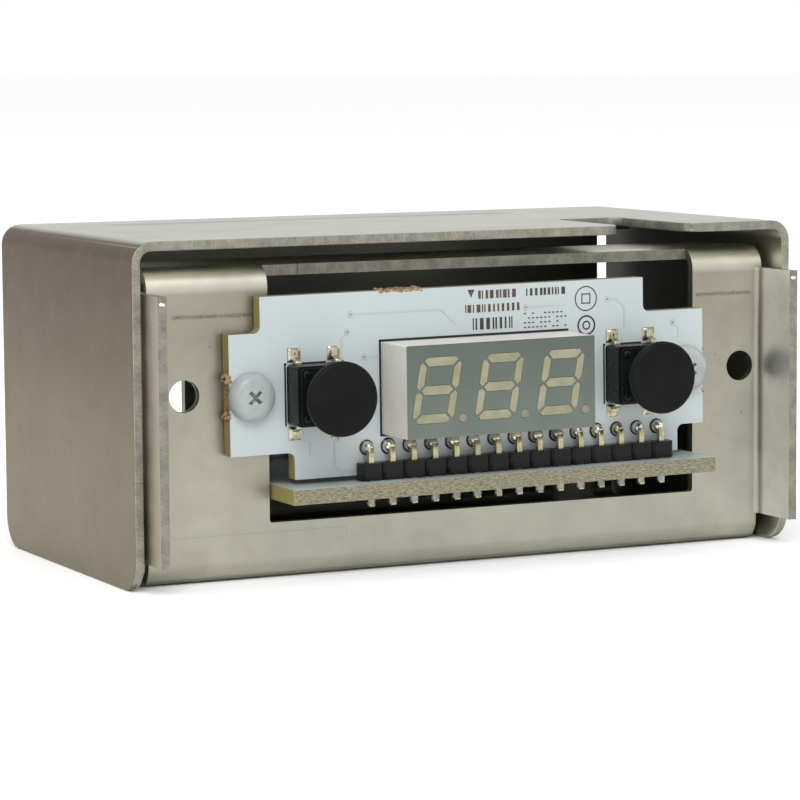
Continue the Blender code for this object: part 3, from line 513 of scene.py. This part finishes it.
def resin(name, points):
    """Diffusing resin, pinkish in patches and dim at the points. points are their middles."""
    s = Surface(name)
    fine = s.noise(0.3, 3, 0.6)
    cloud = s.noise(1.6, 3)
    tint = s.mix(s.where(cloud, 0.35, 0.65), colour(0.215, 0.212, 0.128), colour(0.275, 0.262, 0.175))
    pink = s.where(s.noise(2.4, 2, 0.5, offset=(9, 2, 5)), 0.52, 0.66)
    tint = s.mix(s.math("MULTIPLY", pink, 0.3), tint, colour(0.30, 0.262, 0.20))
    for x, z in points:
        across = s.near(s.across(), x, 0.6, 0.1)
        dim = both(s, across, s.near(s.height(), z, 0.6, 0.1))
        tint = s.mix(dim, tint, colour(0.195, 0.186, 0.150))
    s.set(
        Base_Color=tint,
        Roughness=s.scale(fine, 0.3, 0.7, 0.34, 0.5),
        Normal=s.bump(fine, 0.004),
        Specular_IOR_Level=0.4,
        Subsurface_Weight=0.15,
        Subsurface_Radius=(1.0, 0.8, 0.5),
        Subsurface_Scale=0.0004,
    )
    return s


def moulded(name, dark, light, gloss=(0.4, 0.55), texture=0.5, depth=0.006, dust=0.3, shine=0.2):
    """Moulded plastic with a fine skin, uneven gloss and a few specks of dust."""
    s = Surface(name)
    skin = s.noise(texture, 3, 0.6)
    cloud = s.noise(3.6, 3)
    tint = s.mix(s.where(cloud, 0.35, 0.65), dark, light)
    specks = s.specks(1.6, 0.06, 5.0, 0.25)
    uneven = s.math("ADD", s.math("MULTIPLY", skin, 0.5), s.math("MULTIPLY", cloud, 0.5))
    s.set(
        Base_Color=s.mix(s.math("MULTIPLY", specks, dust), tint, grey(0.30)),
        Roughness=s.scale(uneven, 0.3, 0.7, *gloss),
        Normal=s.bump(skin, depth),
        Specular_IOR_Level=shine,
    )
    return s


def nylon(name):
    """Natural nylon, which lets a little light into it."""
    s = Surface(name)
    cloud = s.where(s.noise(1.4, 3), 0.35, 0.65)
    skin = s.noise(0.5, 3)
    s.set(
        Base_Color=s.mix(cloud, colour(0.315, 0.355, 0.352), colour(0.380, 0.412, 0.405)),
        Roughness=s.scale(skin, 0.3, 0.7, 0.26, 0.42),
        Normal=s.bump(skin, 0.004),
        Transmission_Weight=0.05,
        IOR=1.45,
        Subsurface_Weight=0.6,
        Subsurface_Radius=(1.0, 1.0, 1.0),
        Subsurface_Scale=0.0012,
    )
    return s


def plated(name, low, high, gloss=(0.22, 0.4), grain=0.25, depth=0.004):
    """Plated or bright metal, slightly uneven in colour and gloss."""
    s = Surface(name)
    cloud = s.noise(0.9, 3, 0.6)
    fine = s.noise(grain, 3, 0.6)
    s.set(
        Base_Color=s.mix(s.where(cloud, 0.35, 0.65), low, high),
        Metallic=1.0,
        Roughness=s.scale(fine, 0.3, 0.7, *gloss),
        Normal=s.bump(fine, depth),
    )
    return s


def solder_flux_and_dark_reflection(name, front):
    """Glossy solder, brighter away from its dark foot, which stands partly for flux and partly for a
    painted dark reflection. front is the board's front.
    """
    s = Surface(name)
    ahead = s.math("SUBTRACT", front, s.depth())
    joint = s.noise(4.2, 2, 0.5, offset=(1, 0, 0))
    smear = s.noise(0.35, 3, 0.7)
    bright = s.mix(s.where(joint, 0.40, 0.60), colour(0.40, 0.39, 0.30), colour(0.82, 0.80, 0.68))
    bright = s.mix(s.where(smear, 0.55, 0.70), bright, colour(0.14, 0.13, 0.09))
    # The dark foot: partly flux, partly a painted dark reflection.
    flux_and_dark_reflection = s.mix(s.where(smear, 0.4, 0.6), colour(0.018, 0.017, 0.011), colour(0.06, 0.052, 0.034))
    s.set(
        Base_Color=s.mix(s.where(ahead, 0.06, 0.34), flux_and_dark_reflection, bright),
        Metallic=0.9,
        Roughness=s.scale(smear, 0.3, 0.7, 0.12, 0.30),
        Normal=s.bump(smear, 0.02),
    )
    return s


def ink(name, dark, light):
    """Printed ink with worn, uneven strokes."""
    s = Surface(name)
    worn = s.noise(0.18, 3, 0.7)
    s.set(
        Base_Color=s.mix(s.where(worn, 0.35, 0.62), dark, light),
        Roughness=s.scale(worn, 0.3, 0.7, 0.5, 0.7),
        Normal=s.bump(worn, 0.004),
        Specular_IOR_Level=0.3,
    )
    return s


def fibre(name):
    """Torn glass-epoxy: brown, with pale broken strands."""
    s = Surface(name)
    strand = s.noise(0.14, 3, 0.8, stretch=(1, 4, 1))
    patch = s.noise(0.5, 2)
    brown = s.mix(s.where(patch, 0.4, 0.6), colour(0.15, 0.075, 0.030), colour(0.30, 0.185, 0.085))
    s.set(
        Base_Color=s.mix(s.where(strand, 0.50, 0.62), brown, colour(0.52, 0.43, 0.30)),
        Roughness=s.scale(strand, 0.3, 0.7, 0.6, 0.85),
        Normal=s.bump(strand, 0.05),
        Specular_IOR_Level=0.2,
    )
    return s


def dress(node, surface):
    """Gives the CAD node this material in each of its slots."""
    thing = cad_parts[node]
    for place in thing.material_slots:
        place.material = surface.material


def edge_radius(node):
    for part, radius in EDGE_RADII.items():
        if part in node:
            return radius
    return PLAIN_EDGE


def soften(node):
    """Welds a CAD node's facets, clears its flat faces and rounds its edges, all in modifiers."""
    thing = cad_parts[node]
    weld = thing.modifiers.new("weld", "WELD")
    weld.merge_threshold = 2e-6
    flat = thing.modifiers.new("flat", "DECIMATE")
    flat.decimate_type = "DISSOLVE"
    flat.angle_limit = math.radians(1.0)
    shade = thing.modifiers.new("shade", "NODES")
    shade.node_group = smooth_group()
    bevel = thing.modifiers.new("bevel", "BEVEL")
    bevel.width = edge_radius(node) * MM
    bevel.segments = 2
    bevel.limit_method = "ANGLE"
    bevel.angle_limit = math.radians(28)
    bevel.use_clamp_overlap = True
    bevel.harden_normals = False
    weighted = thing.modifiers.new("normals", "WEIGHTED_NORMAL")
    weighted.weight = 80
    weighted.keep_sharp = False


def smooth_group():
    """A node group that shades a whole mesh smooth."""
    found = bpy.data.node_groups.get("shade_smooth")
    if found:
        return found
    group = bpy.data.node_groups.new("shade_smooth", "GeometryNodeTree")
    group.interface.new_socket(name="Geometry", in_out="INPUT", socket_type="NodeSocketGeometry")
    group.interface.new_socket(name="Geometry", in_out="OUTPUT", socket_type="NodeSocketGeometry")
    start = group.nodes.new("NodeGroupInput")
    end = group.nodes.new("NodeGroupOutput")
    smooth = group.nodes.new("GeometryNodeSetShadeSmooth")
    group.links.new(start.outputs[0], smooth.inputs[0])
    group.links.new(smooth.outputs[0], end.inputs[0])
    return group


# ---------------------------------------------------------------- pieces on the boards


def middle(node):
    """The middle of a node's box, in millimetres."""
    low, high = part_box(node)
    return (low + high) / (2 * MM)


def half_size(node):
    """Half of a node's width, depth and height, in millimetres."""
    low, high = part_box(node)
    return (high - low) / (2 * MM)


def board_matrix():
    """From board coordinates (u, y, w) to the frame's, in millimetres. Both caps' middles set it."""
    left = middle("left_cap")
    right = middle("right_cap")
    roll = math.atan2(right.z - left.z, right.x - left.x)
    turn = Matrix.Rotation(-roll, 4, "Y")
    centre = (left + right) / 2
    centre.y = 0
    return Matrix.Translation(centre + turn @ Vector((0, 0, BUTTON_DROP))) @ turn


BOARD = board_matrix()


def on_board(node):
    """The middle of a node, in board coordinates."""
    return BOARD.inverted() @ middle(node)


# The front board's front, the connector board's underside, and the nodes that come in rows
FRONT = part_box("front_board")[0].y / MM
UNDER = on_board("connector_board").z - HALF_BOARD
PINS = [f"header_pin_{index:02d}" for index in range(1, 16)]
SOCKET_PINS = [f"socket_pin_{index}" for index in range(1, 5)]
SWITCHES = [(side, on_board(f"{side}_cap").x) for side in ("left", "right")]


def piece(name, shape, surface, body="housing"):
    """A new piece from a bmesh in board coordinates, riding on a body."""
    bmesh.ops.recalc_face_normals(shape, faces=shape.faces)
    bmesh.ops.transform(shape, matrix=Matrix.Scale(MM, 4) @ BOARD, verts=shape.verts)
    mesh = bpy.data.meshes.new(name)
    shape.to_mesh(mesh)
    shape.free()
    thing = bpy.data.objects.new(name, mesh)
    bpy.context.scene.collection.objects.link(thing)
    mesh.materials.append(surface.material)
    mesh.shade_smooth()
    mesh.set_sharp_from_angle(angle=math.radians(40))
    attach(thing, body)


def add_turned(shape, profile, place, axis, sides):
    """Adds a closed turned solid: profile lists (radius, distance from place along the axis)."""
    along = Vector(axis)
    across = along.orthogonal().normalized()
    over = along.cross(across)
    rings = []
    for radius, distance in profile:
        centre = Vector(place) + along * distance
        if radius == 0:
            rings.append([shape.verts.new(centre)])
            continue
        angles = [2 * math.pi * side / sides for side in range(sides)]
        ring = [centre + radius * (math.cos(a) * across + math.sin(a) * over) for a in angles]
        rings.append([shape.verts.new(point) for point in ring])
    for first, second in zip(rings, rings[1:]):
        for side in range(sides):
            after = (side + 1) % sides
            corners = [first[side % len(first)], first[after % len(first)]]
            corners += [second[after % len(second)], second[side % len(second)]]
            shape.faces.new(list(dict.fromkeys(corners)))


def rectangle(centre, half_width, half_height):
    """The corners of an upright rectangle, in turn."""
    u, w = centre
    sides = ((-1, -1), (1, -1), (1, 1), (-1, 1))
    return [(u + across * half_width, w + up * half_height) for across, up in sides]


def add_prism(shape, first, second):
    """Adds a solid between two outlines with as many points each."""
    near = [shape.verts.new(point) for point in first]
    far = [shape.verts.new(point) for point in second]
    shape.faces.new(near)
    shape.faces.new(far[::-1])
    for index in range(len(near)):
        after = (index + 1) % len(near)
        shape.faces.new((near[index], near[after], far[after], far[index]))


def add_plate(shape, outline, back, front):
    """Adds a flat plate: an outline of (u, w) points between two depths."""
    add_prism(shape, [(u, back, w) for u, w in outline], [(u, front, w) for u, w in outline])


def add_print(shape, outline, height=PRINT_HEIGHT):
    """Adds a thin print on the front board."""
    add_plate(shape, outline, FRONT + PRINT_SUNK, FRONT - height)


def add_line(shape, start, end, width, height=PRINT_HEIGHT):
    """Adds a raised line on the front board, with its ends squared."""
    start = Vector(start)
    end = Vector(end)
    along = (end - start).normalized()
    side = Vector((-along.y, along.x)) * width / 2
    reach = along * width / 2
    outline = [start - reach - side, end + reach - side, end + reach + side, start - reach + side]
    add_print(shape, outline, height)


def add_ring(shape, centre, radius, width):
    """Adds a printed ring on the front board."""
    inner = radius - width
    foot = -PRINT_SUNK
    corners = [(inner, foot), (radius, foot), (radius, PRINT_HEIGHT), (inner, PRINT_HEIGHT)]
    add_turned(shape, [*corners, corners[0]], (centre[0], FRONT, centre[1]), (0, -1, 0), 40)
    bmesh.ops.remove_doubles(shape, verts=shape.verts, dist=1e-4)


def add_lump(shape, place, size, draw, rough):
    """Adds an irregular lump with the given half sizes, whose points stray by up to a rough share."""
    made = bmesh.ops.create_icosphere(shape, subdivisions=2, radius=1.0)["verts"]
    for vert in made:
        swell = 1 + draw.uniform(-rough, rough)
        vert.co = Vector(place) + Vector((vert.co[axis] * size[axis] * swell for axis in range(3)))


def header_solder():
    """A glossy cone of solder round each pin on the front board, in a dark ring that stands partly for
    flux and partly for a painted dark reflection.
    """
    shape = bmesh.new()
    draw = random.Random(SEEDS["header_solder"])
    for node in PINS:
        spot = on_board(node)
        top = spot.z + half_size(node).z
        size = draw.uniform(1.0, 1.12)
        height = draw.uniform(0.92, 1.08)
        profile = [(radius * size, distance * height) for radius, distance in CONE]
        add_turned(shape, profile, (spot.x, FRONT, top - PIN_SIZE / 2), (0, -1, 0), 32)
    piece("header_solder", shape, solder_flux_and_dark_reflection("solder_flux_and_dark_reflection", FRONT))


def tail_solder(surface):
    """Solder round the tails under the connector board, almost to their tips."""
    shape = bmesh.new()
    draw = random.Random(SEEDS["tail_solder"])
    for node in PINS + SOCKET_PINS:
        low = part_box(node)[0] / MM
        tip = BOARD.inverted() @ Vector((middle(node).x, 0, low.z))
        size = draw.uniform(0.9, 1.1)
        length = UNDER - tip.z - 0.12
        profile = [(radius * size, max(distance * length, -0.01)) for radius, distance in TAIL]
        add_turned(shape, profile, (tip.x, low.y + PIN_SIZE / 2, UNDER), (0, 0, -1), 20)
    piece("tail_solder", shape, surface)


def switch_solder(surface, pad_surface):
    """The pads under the switches' feet, and the solder heaped on them."""
    pads = bmesh.new()
    heaps = bmesh.new()
    draw = random.Random(SEEDS["switch_solder"])
    for _, middle_u in SWITCHES:
        for side in (-1, 1):
            for up in (-1, 1):
                u = middle_u + side * TERMINAL_SIDE
                w = up * TERMINAL_PAD - BUTTON_DROP
                add_plate(pads, rectangle((u, w), PAD_HALF, PAD_HALF), FRONT + 0.01, FRONT - 0.04)
                add_heap(heaps, u, w, up, draw)
    piece("switch_pads", pads, pad_surface)
    piece("switch_solder", heaps, surface)


def add_heap(shape, u, w, up, draw, half=0.69, steps=12):
    """A heap of solder over a pad, highest along the middle where the foot lies in it."""
    rows = []
    for row in range(steps + 1):
        line = []
        for column in range(steps + 1):
            a = 2 * column / steps - 1
            b = 2 * row / steps - 1
            edge = (1 - a ** 4) * (1 - b ** 4)
            ridge = 0.07 + 0.27 * math.exp(-((a / 0.62) ** 2)) * (0.72 + 0.28 * b * up)
            height = ridge * edge ** 0.5 + draw.uniform(-0.018, 0.018) * edge
            line.append(shape.verts.new((u + a * half, FRONT - 0.035 - height, w + b * half)))
        rows.append(line)
    for low, high in zip(rows, rows[1:]):
        for column in range(steps):
            shape.faces.new((low[column], low[column + 1], high[column + 1], high[column]))
    right_side = [line[-1] for line in rows[1:]]
    left_side = [line[0] for line in rows[-2:0:-1]]
    rim = rows[0] + right_side + rows[-1][-2::-1] + left_side
    base = [shape.verts.new((vert.co.x, FRONT - 0.01, vert.co.z)) for vert in rim]
    for index in range(len(rim)):
        after = (index + 1) % len(rim)
        shape.faces.new((rim[index], base[index], base[after], rim[after]))
    shape.faces.new(base)


def silk_lines(surface):
    """Printed outlines of the display and of the switches."""
    shape = bmesh.new()
    left, right, low, high = DISPLAY_OUTLINE
    thick = 0.24
    fine = 0.2
    lines = [
        ((left, low), (left, high), thick),
        ((left, high), (right, high), thick),
        ((left, low), (left + 1.0, low), thick),
        ((left + 2.2, low), (left + 3.0, low), thick),
    ]
    top = SWITCH_OUTLINE - 0.1 - BUTTON_DROP
    foot = -top - 2 * BUTTON_DROP
    for _, u in SWITCHES:
        edge = u - SWITCH_OUTLINE
        lines += [
            ((edge, foot), (edge, top), fine),
            ((edge, top), (edge + 0.1, top), fine),
            ((u - 1.3, top), (u + 1.3, top), fine),
            ((u - 1.3, foot), (u + 1.3, foot), fine),
            ((u + SWITCH_OUTLINE, foot), (u + SWITCH_OUTLINE, top), fine),
        ]
    for start, end, width in lines:
        add_line(shape, start, end, width)
    piece("silk_lines", shape, surface)


def board_marks(dark, brown):
    """Generic printed marks: a triangle, rows of strokes, a grid of dots, a square and rings."""
    draw = random.Random(SEEDS["board_marks"])
    brown_marks(brown, draw)
    dark_marks(dark, draw)


def brown_marks(surface, draw):
    shape = bmesh.new()
    add_print(shape, TRIANGLE)
    for row in BROWN_STROKES:
        add_strokes(shape, row, draw)
    add_ring(shape, BROWN_RING, 1.38, 0.13)
    corners = rectangle(BROWN_RING, 0.5, 0.5)
    for index in range(4):
        add_line(shape, corners[index - 1], corners[index], 0.13)
    piece("brown_marks", shape, surface)


def dark_marks(surface, draw):
    shape = bmesh.new()
    for row in DARK_STROKES:
        add_strokes(shape, row, draw)
    for column in range(11):
        for row in range(4):
            if draw.random() < DOT_SHARE:
                u = DOT_CORNER[0] + DOT_PITCH * column
                w = DOT_CORNER[1] + DOT_PITCH * row
                add_line(shape, (u, w), (u + 0.12, w), 0.14)
    add_ring(shape, DARK_RING, 1.12, 0.2)
    add_ring(shape, DARK_RING, 0.5, 0.16)
    piece("dark_marks", shape, surface)


def add_strokes(shape, row, draw):
    """Adds a row of upright strokes of uneven widths and gaps, like a bar code."""
    u, last, w, tall = row
    while u < last:
        width = draw.choice((0.14, 0.2, 0.3, 0.45))
        add_print(shape, rectangle((u + width / 2, w), width / 2, tall / 2))
        u += width + draw.choice((0.14, 0.2, 0.32))


def board_traces(surface, dark):
    """Copper tracks that stand out faintly under the mask, and a hole at each one's start, drawn as a
    dark disc of painted shade.
    """
    shape = bmesh.new()
    holes = bmesh.new()
    ring = [(0, -0.01), (0.34, -0.01), (0.31, 0.045), (0, 0.045)]
    hole = [(0, 0), (0.11, 0), (0.11, 0.05), (0, 0.05)]
    for track in TRACKS:
        # Each run stands a little higher than the last, so that no two share a plane where they meet.
        for index, (start, end) in enumerate(zip(track, track[1:])):
            add_line(shape, start, end, 0.16, 0.026 + 0.002 * index)
        spot = (track[0][0], FRONT, track[0][1])
        add_turned(shape, ring, spot, (0, -1, 0), 24)
        add_turned(holes, hole, spot, (0, -1, 0), 16)
    piece("board_traces", shape, surface)
    piece("board_vias", holes, dark)


def torn_edges(surface):
    """Torn glass fibre where the board was broken out of its panel."""
    shape = bmesh.new()
    draw = random.Random(SEEDS["torn_edges"])
    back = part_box("front_board")[1].y / MM
    left, right = BOARD_SIDES
    spots = [(left + 0.02, w, 0.42) for w in (1.5, 1.9, -2.0, -2.4)]
    spots += [(left + 0.02, 1.2 - 0.3 * index, 0.10) for index in range(11)]
    spots += [(right - 0.02, w, 0.15) for w in (1.75, -2.75, -3.0)]
    spots += [(-11.4 + 0.26 * index, BOARD_TOP - 0.05, 0.32) for index in range(20)]
    for u, w, size in spots:
        for layer in range(5):
            y = FRONT + (back - FRONT) * (layer + 0.35) / 5 + draw.uniform(-0.1, 0.1)
            place = (u + draw.uniform(-0.08, 0.08), max(y, FRONT + 0.12), w + draw.uniform(-0.1, 0.1))
            half = size * draw.uniform(0.5, 0.95)
            add_lump(shape, place, (half, 0.24, half * 0.8), draw, 0.3)
    piece("torn_edges", shape, surface)


def switch_rivets(surface):
    """The four melted studs that hold each switch's cover."""
    shape = bmesh.new()
    profile = [(0, -0.02), (0.42, -0.02), (0.41, 0.06), (0.34, 0.14), (0.2, 0.18), (0, 0.19)]
    for side, u in SWITCHES:
        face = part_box(f"{side}_switch_cover")[0].y / MM
        for out in (-1, 1):
            for up in (-1, 1):
                spot = (u + out * RIVET_SIDE, face, up * RIVET_SIDE - BUTTON_DROP)
                add_turned(shape, profile, spot, (0, -1, 0), 20)
    piece("switch_rivets", shape, surface)


def flange_burrs(surface):
    """A bright burr at the top of each side flange's front edge."""
    shape = bmesh.new()
    draw = random.Random(SEEDS["flange_burrs"])
    low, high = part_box("chassis")
    for side in (-1, 1):
        x = side * (high.x / MM - 0.5)
        place = BOARD.inverted() @ Vector((x, low.y / MM + 0.03, BURR_HEIGHT))
        add_lump(shape, place, (0.38, 0.09, 0.2), draw, 0.12)
    piece("flange_burrs", shape, surface)


def chip_leads(surface):
    """Bent leads along both long sides of the control chip, and the regulator's three."""
    shape = bmesh.new()
    for node, count, pitch, rows in (("control_chip", 10, 1.27, (-1, 1)), ("regulator", 3, 2.3, (-1,))):
        spot = on_board(node)
        half = half_size(node)
        for row in rows:
            for index in range(count):
                u = spot.x + (index - (count - 1) / 2) * pitch
                add_lead(shape, u, spot.y + row * half.y, row, spot.z - half.z)
    piece("chip_leads", shape, surface)


def add_lead(shape, u, edge, row, seat, width=0.42, thickness=0.18):
    """Adds a lead that leaves a chip's side, bends down and ends in a flat foot."""
    path = [(0, 0.85), (0.3, 0.85), (0.55, 0.1), (1.15, 0.06)]
    profile = [(out, rise - thickness / 2) for out, rise in path]
    profile += [(out + 0.12, rise + thickness / 2) for out, rise in path[::-1]]
    outline = [(edge + row * (out - 0.05), seat + rise) for out, rise in profile]
    left, right = u - width / 2, u + width / 2
    add_prism(shape, [(left, *point) for point in outline], [(right, *point) for point in outline])


def capacitor_tops(surface):
    """The vent cross and the raised rim on each capacitor's top."""
    shape = bmesh.new()
    for node in ("capacitor_1", "capacitor_2"):
        spot = on_board(node)
        half = half_size(node)
        radius = half.x
        top = spot.z + half.z
        rim = [(0, 0.01), (radius * 0.86, 0.01), (radius * 0.86, 0.06), (radius * 0.8, 0.09), (0, 0.09)]
        add_turned(shape, rim, (spot.x, spot.y, top - 0.06), (0, 0, 1), 40)
        for bar in ((0.07, radius * 0.6), (radius * 0.6, 0.07)):
            corners = rectangle((spot.x, spot.y), *bar)
            raised = [(*point, top + 0.07) for point in corners]
            add_prism(shape, [(*point, top) for point in corners], raised)
    piece("capacitor_tops", shape, surface)


# ---------------------------------------------------------------- studio


def camera():
    """A long lens at the front left, a little above the housing."""
    forward = Vector(
        (
            math.sin(CAMERA_YAW) * math.cos(CAMERA_PITCH),
            math.cos(CAMERA_YAW) * math.cos(CAMERA_PITCH),
            -math.sin(CAMERA_PITCH),
        )
    )
    level = Vector((math.cos(CAMERA_YAW), -math.sin(CAMERA_YAW), 0))
    above = level.cross(forward)
    right = math.cos(CAMERA_ROLL) * level + math.sin(CAMERA_ROLL) * above
    up = -math.sin(CAMERA_ROLL) * level + math.cos(CAMERA_ROLL) * above
    turn = Matrix((right, up, -forward)).transposed().to_4x4()
    data = bpy.data.cameras.new("camera")
    data.lens = LENS
    data.sensor_width = SENSOR
    data.clip_start = 0.01
    data.clip_end = 100
    made = bpy.data.objects.new("camera", data)
    bpy.context.scene.collection.objects.link(made)
    made.matrix_world = Matrix.Translation(Vector(CAMERA_PLACE) * MM) @ turn
    bpy.context.scene.camera = made


def soft_light(name, place, size, power):
    data = bpy.data.lights.new(name, "AREA")
    data.shape = "RECTANGLE"
    data.size, data.size_y = size
    data.energy = power
    made = bpy.data.objects.new(name, data)
    bpy.context.scene.collection.objects.link(made)
    made.location = place
    ahead = Vector(LIGHT_TARGET) - Vector(place)
    made.rotation_euler = ahead.to_track_quat("-Z", "Y").to_euler()


def pale_floor():
    shape = bmesh.new()
    bmesh.ops.create_circle(shape, cap_ends=True, cap_tris=False, segments=96, radius=FLOOR_RADIUS)
    mesh = bpy.data.meshes.new("floor")
    shape.to_mesh(mesh)
    shape.free()
    floor = bpy.data.objects.new("floor", mesh)
    bpy.context.scene.collection.objects.link(floor)
    floor.location.z = -FLOOR_GAP
    s = Surface("floor_paper")
    s.set(Base_Color=grey(FLOOR_TONE), Roughness=0.9, Specular_IOR_Level=0.1)
    mesh.materials.append(s.material)


def studio():
    """A pale floor under an even white sky, with two large soft lights."""
    pale_floor()
    world = bpy.data.worlds.new("studio")
    world.use_nodes = True
    bpy.context.scene.world = world
    background = world.node_tree.nodes["Background"]
    background.inputs["Color"].default_value = (1.0, 1.0, 1.0, 1.0)
    background.inputs["Strength"].default_value = 1.0
    for name, (place, size, power) in LIGHTS.items():
        soft_light(name, place, size, power)
    bpy.context.scene.view_settings.view_transform = "Standard"


# ---------------------------------------------------------------- main


def point_places():
    """The middles of the display's three points, in the CAD's frame."""
    across, up = POINT_PLACE
    places = []
    for digit in (-1, 0, 1):
        spot = BOARD @ Vector((digit * DIGIT_PITCH + across, 0, up))
        places.append((spot.x, spot.z))
    return places


def plastics():
    """The moulded finishes: two tones of each, and how its skin differs from the usual one."""
    tones = {
        "header_black": (colour(0.004, 0.005, 0.004), colour(0.007, 0.008, 0.007)),
        "cap_black": (colour(0.0035, 0.0045, 0.0040), colour(0.0058, 0.0068, 0.0062)),
        "switch_black": (colour(0.004, 0.005, 0.0055), colour(0.008, 0.010, 0.010)),
        "socket_white": (colour(0.40, 0.39, 0.35), colour(0.48, 0.465, 0.425)),
        "stem_brown": (colour(0.10, 0.012, 0.008), colour(0.15, 0.022, 0.014)),
    }
    skins = {
        "header_black": {"gloss": (0.24, 0.36)},
        "cap_black": {
            "gloss": (0.42, 0.55),
            "texture": 0.3,
            "depth": 0.004,
            "dust": 0.12,
            "shine": 0.10,
        },
        "switch_black": {"gloss": (0.2, 0.36), "dust": 0.6, "shine": 0.16},
        "socket_white": {"gloss": (0.35, 0.5)},
        "stem_brown": {},
    }
    return {name: moulded(name, *tones[name], **skins[name]) for name in tones}


def metals():
    """The plated and bright finishes."""
    tones = {
        "pin_gold": (colour(0.33, 0.30, 0.17), colour(0.50, 0.465, 0.30)),
        "tinned_brass": (colour(0.34, 0.31, 0.20), colour(0.55, 0.52, 0.39)),
        "spring_steel": (colour(0.42, 0.41, 0.39), colour(0.56, 0.55, 0.53)),
        "aluminium_can": (colour(0.50, 0.51, 0.52), colour(0.62, 0.63, 0.64)),
    }
    return {name: plated(name, *pair) for name, pair in tones.items()}


def cad_finishes():
    """The finish of each kind of CAD node, by a part of the node's name."""
    shell = steel("shell_steel_sheet", shell_edges, on_top, shell_tint, shell_lines)
    chassis = steel(
        "chassis_steel_sheet", chassis_edges, on_fold, chassis_tint, chassis_lines, CHASSIS_EDGE_SHADE
    )
    plastic = plastics()
    metal = metals()
    clear = nylon("nylon_natural")
    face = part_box("display_housing")[0].y / MM
    return {
        "outer_shell": shell,
        "chassis": chassis,
        "front_board": board("front_board_mask", 1),
        "connector_board": board("connector_board_mask", 2),
        "display_housing": display_plastic("display_plastic", face),
        "display_segments": resin("segment_resin", point_places()),
        "header_block": plastic["header_black"],
        "header_pin": metal["pin_gold"],
        "screw": clear,
        "nut": clear,
        "cap": plastic["cap_black"],
        "stem": plastic["stem_brown"],
        "switch_base": plastic["switch_black"],
        "switch_cover": plastic["switch_black"],
        "dome": metal["spring_steel"],
        "terminal": metal["tinned_brass"],
        "support": plastic["socket_white"],
        "control_chip": plastic["header_black"],
        "regulator": plastic["header_black"],
        "capacitor": metal["aluminium_can"],
        "cable_socket": plastic["socket_white"],
        "socket_pin": metal["tinned_brass"],
    }


def dress_cad(finishes):
    """Dresses each CAD node in the finish with the longest name that is part of the node's."""
    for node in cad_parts:
        names = [name for name in finishes if name in node]
        dress(node, finishes[max(names, key=len)])
        soften(node)


def add_solder(tin):
    header_solder()
    dull_tones = colour(0.20, 0.195, 0.165), colour(0.40, 0.39, 0.34)
    tail_solder(plated("solder", *dull_tones, gloss=(0.22, 0.45), grain=0.2, depth=0.02))
    bright_tones = colour(0.26, 0.24, 0.16), colour(0.62, 0.60, 0.50)
    bright = plated("pad_solder", *bright_tones, gloss=(0.12, 0.3), grain=0.3, depth=0.03)
    switch_solder(bright, tin)


def add_prints():
    silk_lines(ink("black_ink", colour(0.008, 0.008, 0.008), colour(0.02, 0.02, 0.022)))
    dark = ink("dark_ink", colour(0.02, 0.018, 0.016), colour(0.06, 0.055, 0.05))
    brown = ink("brown_ink", colour(0.045, 0.025, 0.015), colour(0.12, 0.075, 0.05))
    board_marks(dark, brown)
    hole = ink("via_shadow", colour(0.10, 0.11, 0.12), colour(0.18, 0.19, 0.20))
    board_traces(board("raised_mask", 1, RAISED_MASK_SHADE), hole)


def add_details(finishes):
    """Adds every piece that the CAD doesn't have."""
    tin = finishes["terminal"]
    add_solder(tin)
    add_prints()
    torn_edges(fibre("torn_fibre"))
    switch_rivets(finishes["switch_cover"])
    burr_tones = colour(0.70, 0.69, 0.64), colour(0.90, 0.89, 0.85)
    flange_burrs(plated("bright_burr", *burr_tones, gloss=(0.15, 0.25)))
    chip_leads(tin)
    capacitor_tops(finishes["capacitor"])


camera()
studio()
cad_dress = cad_finishes()
dress_cad(cad_dress)
add_details(cad_dress)
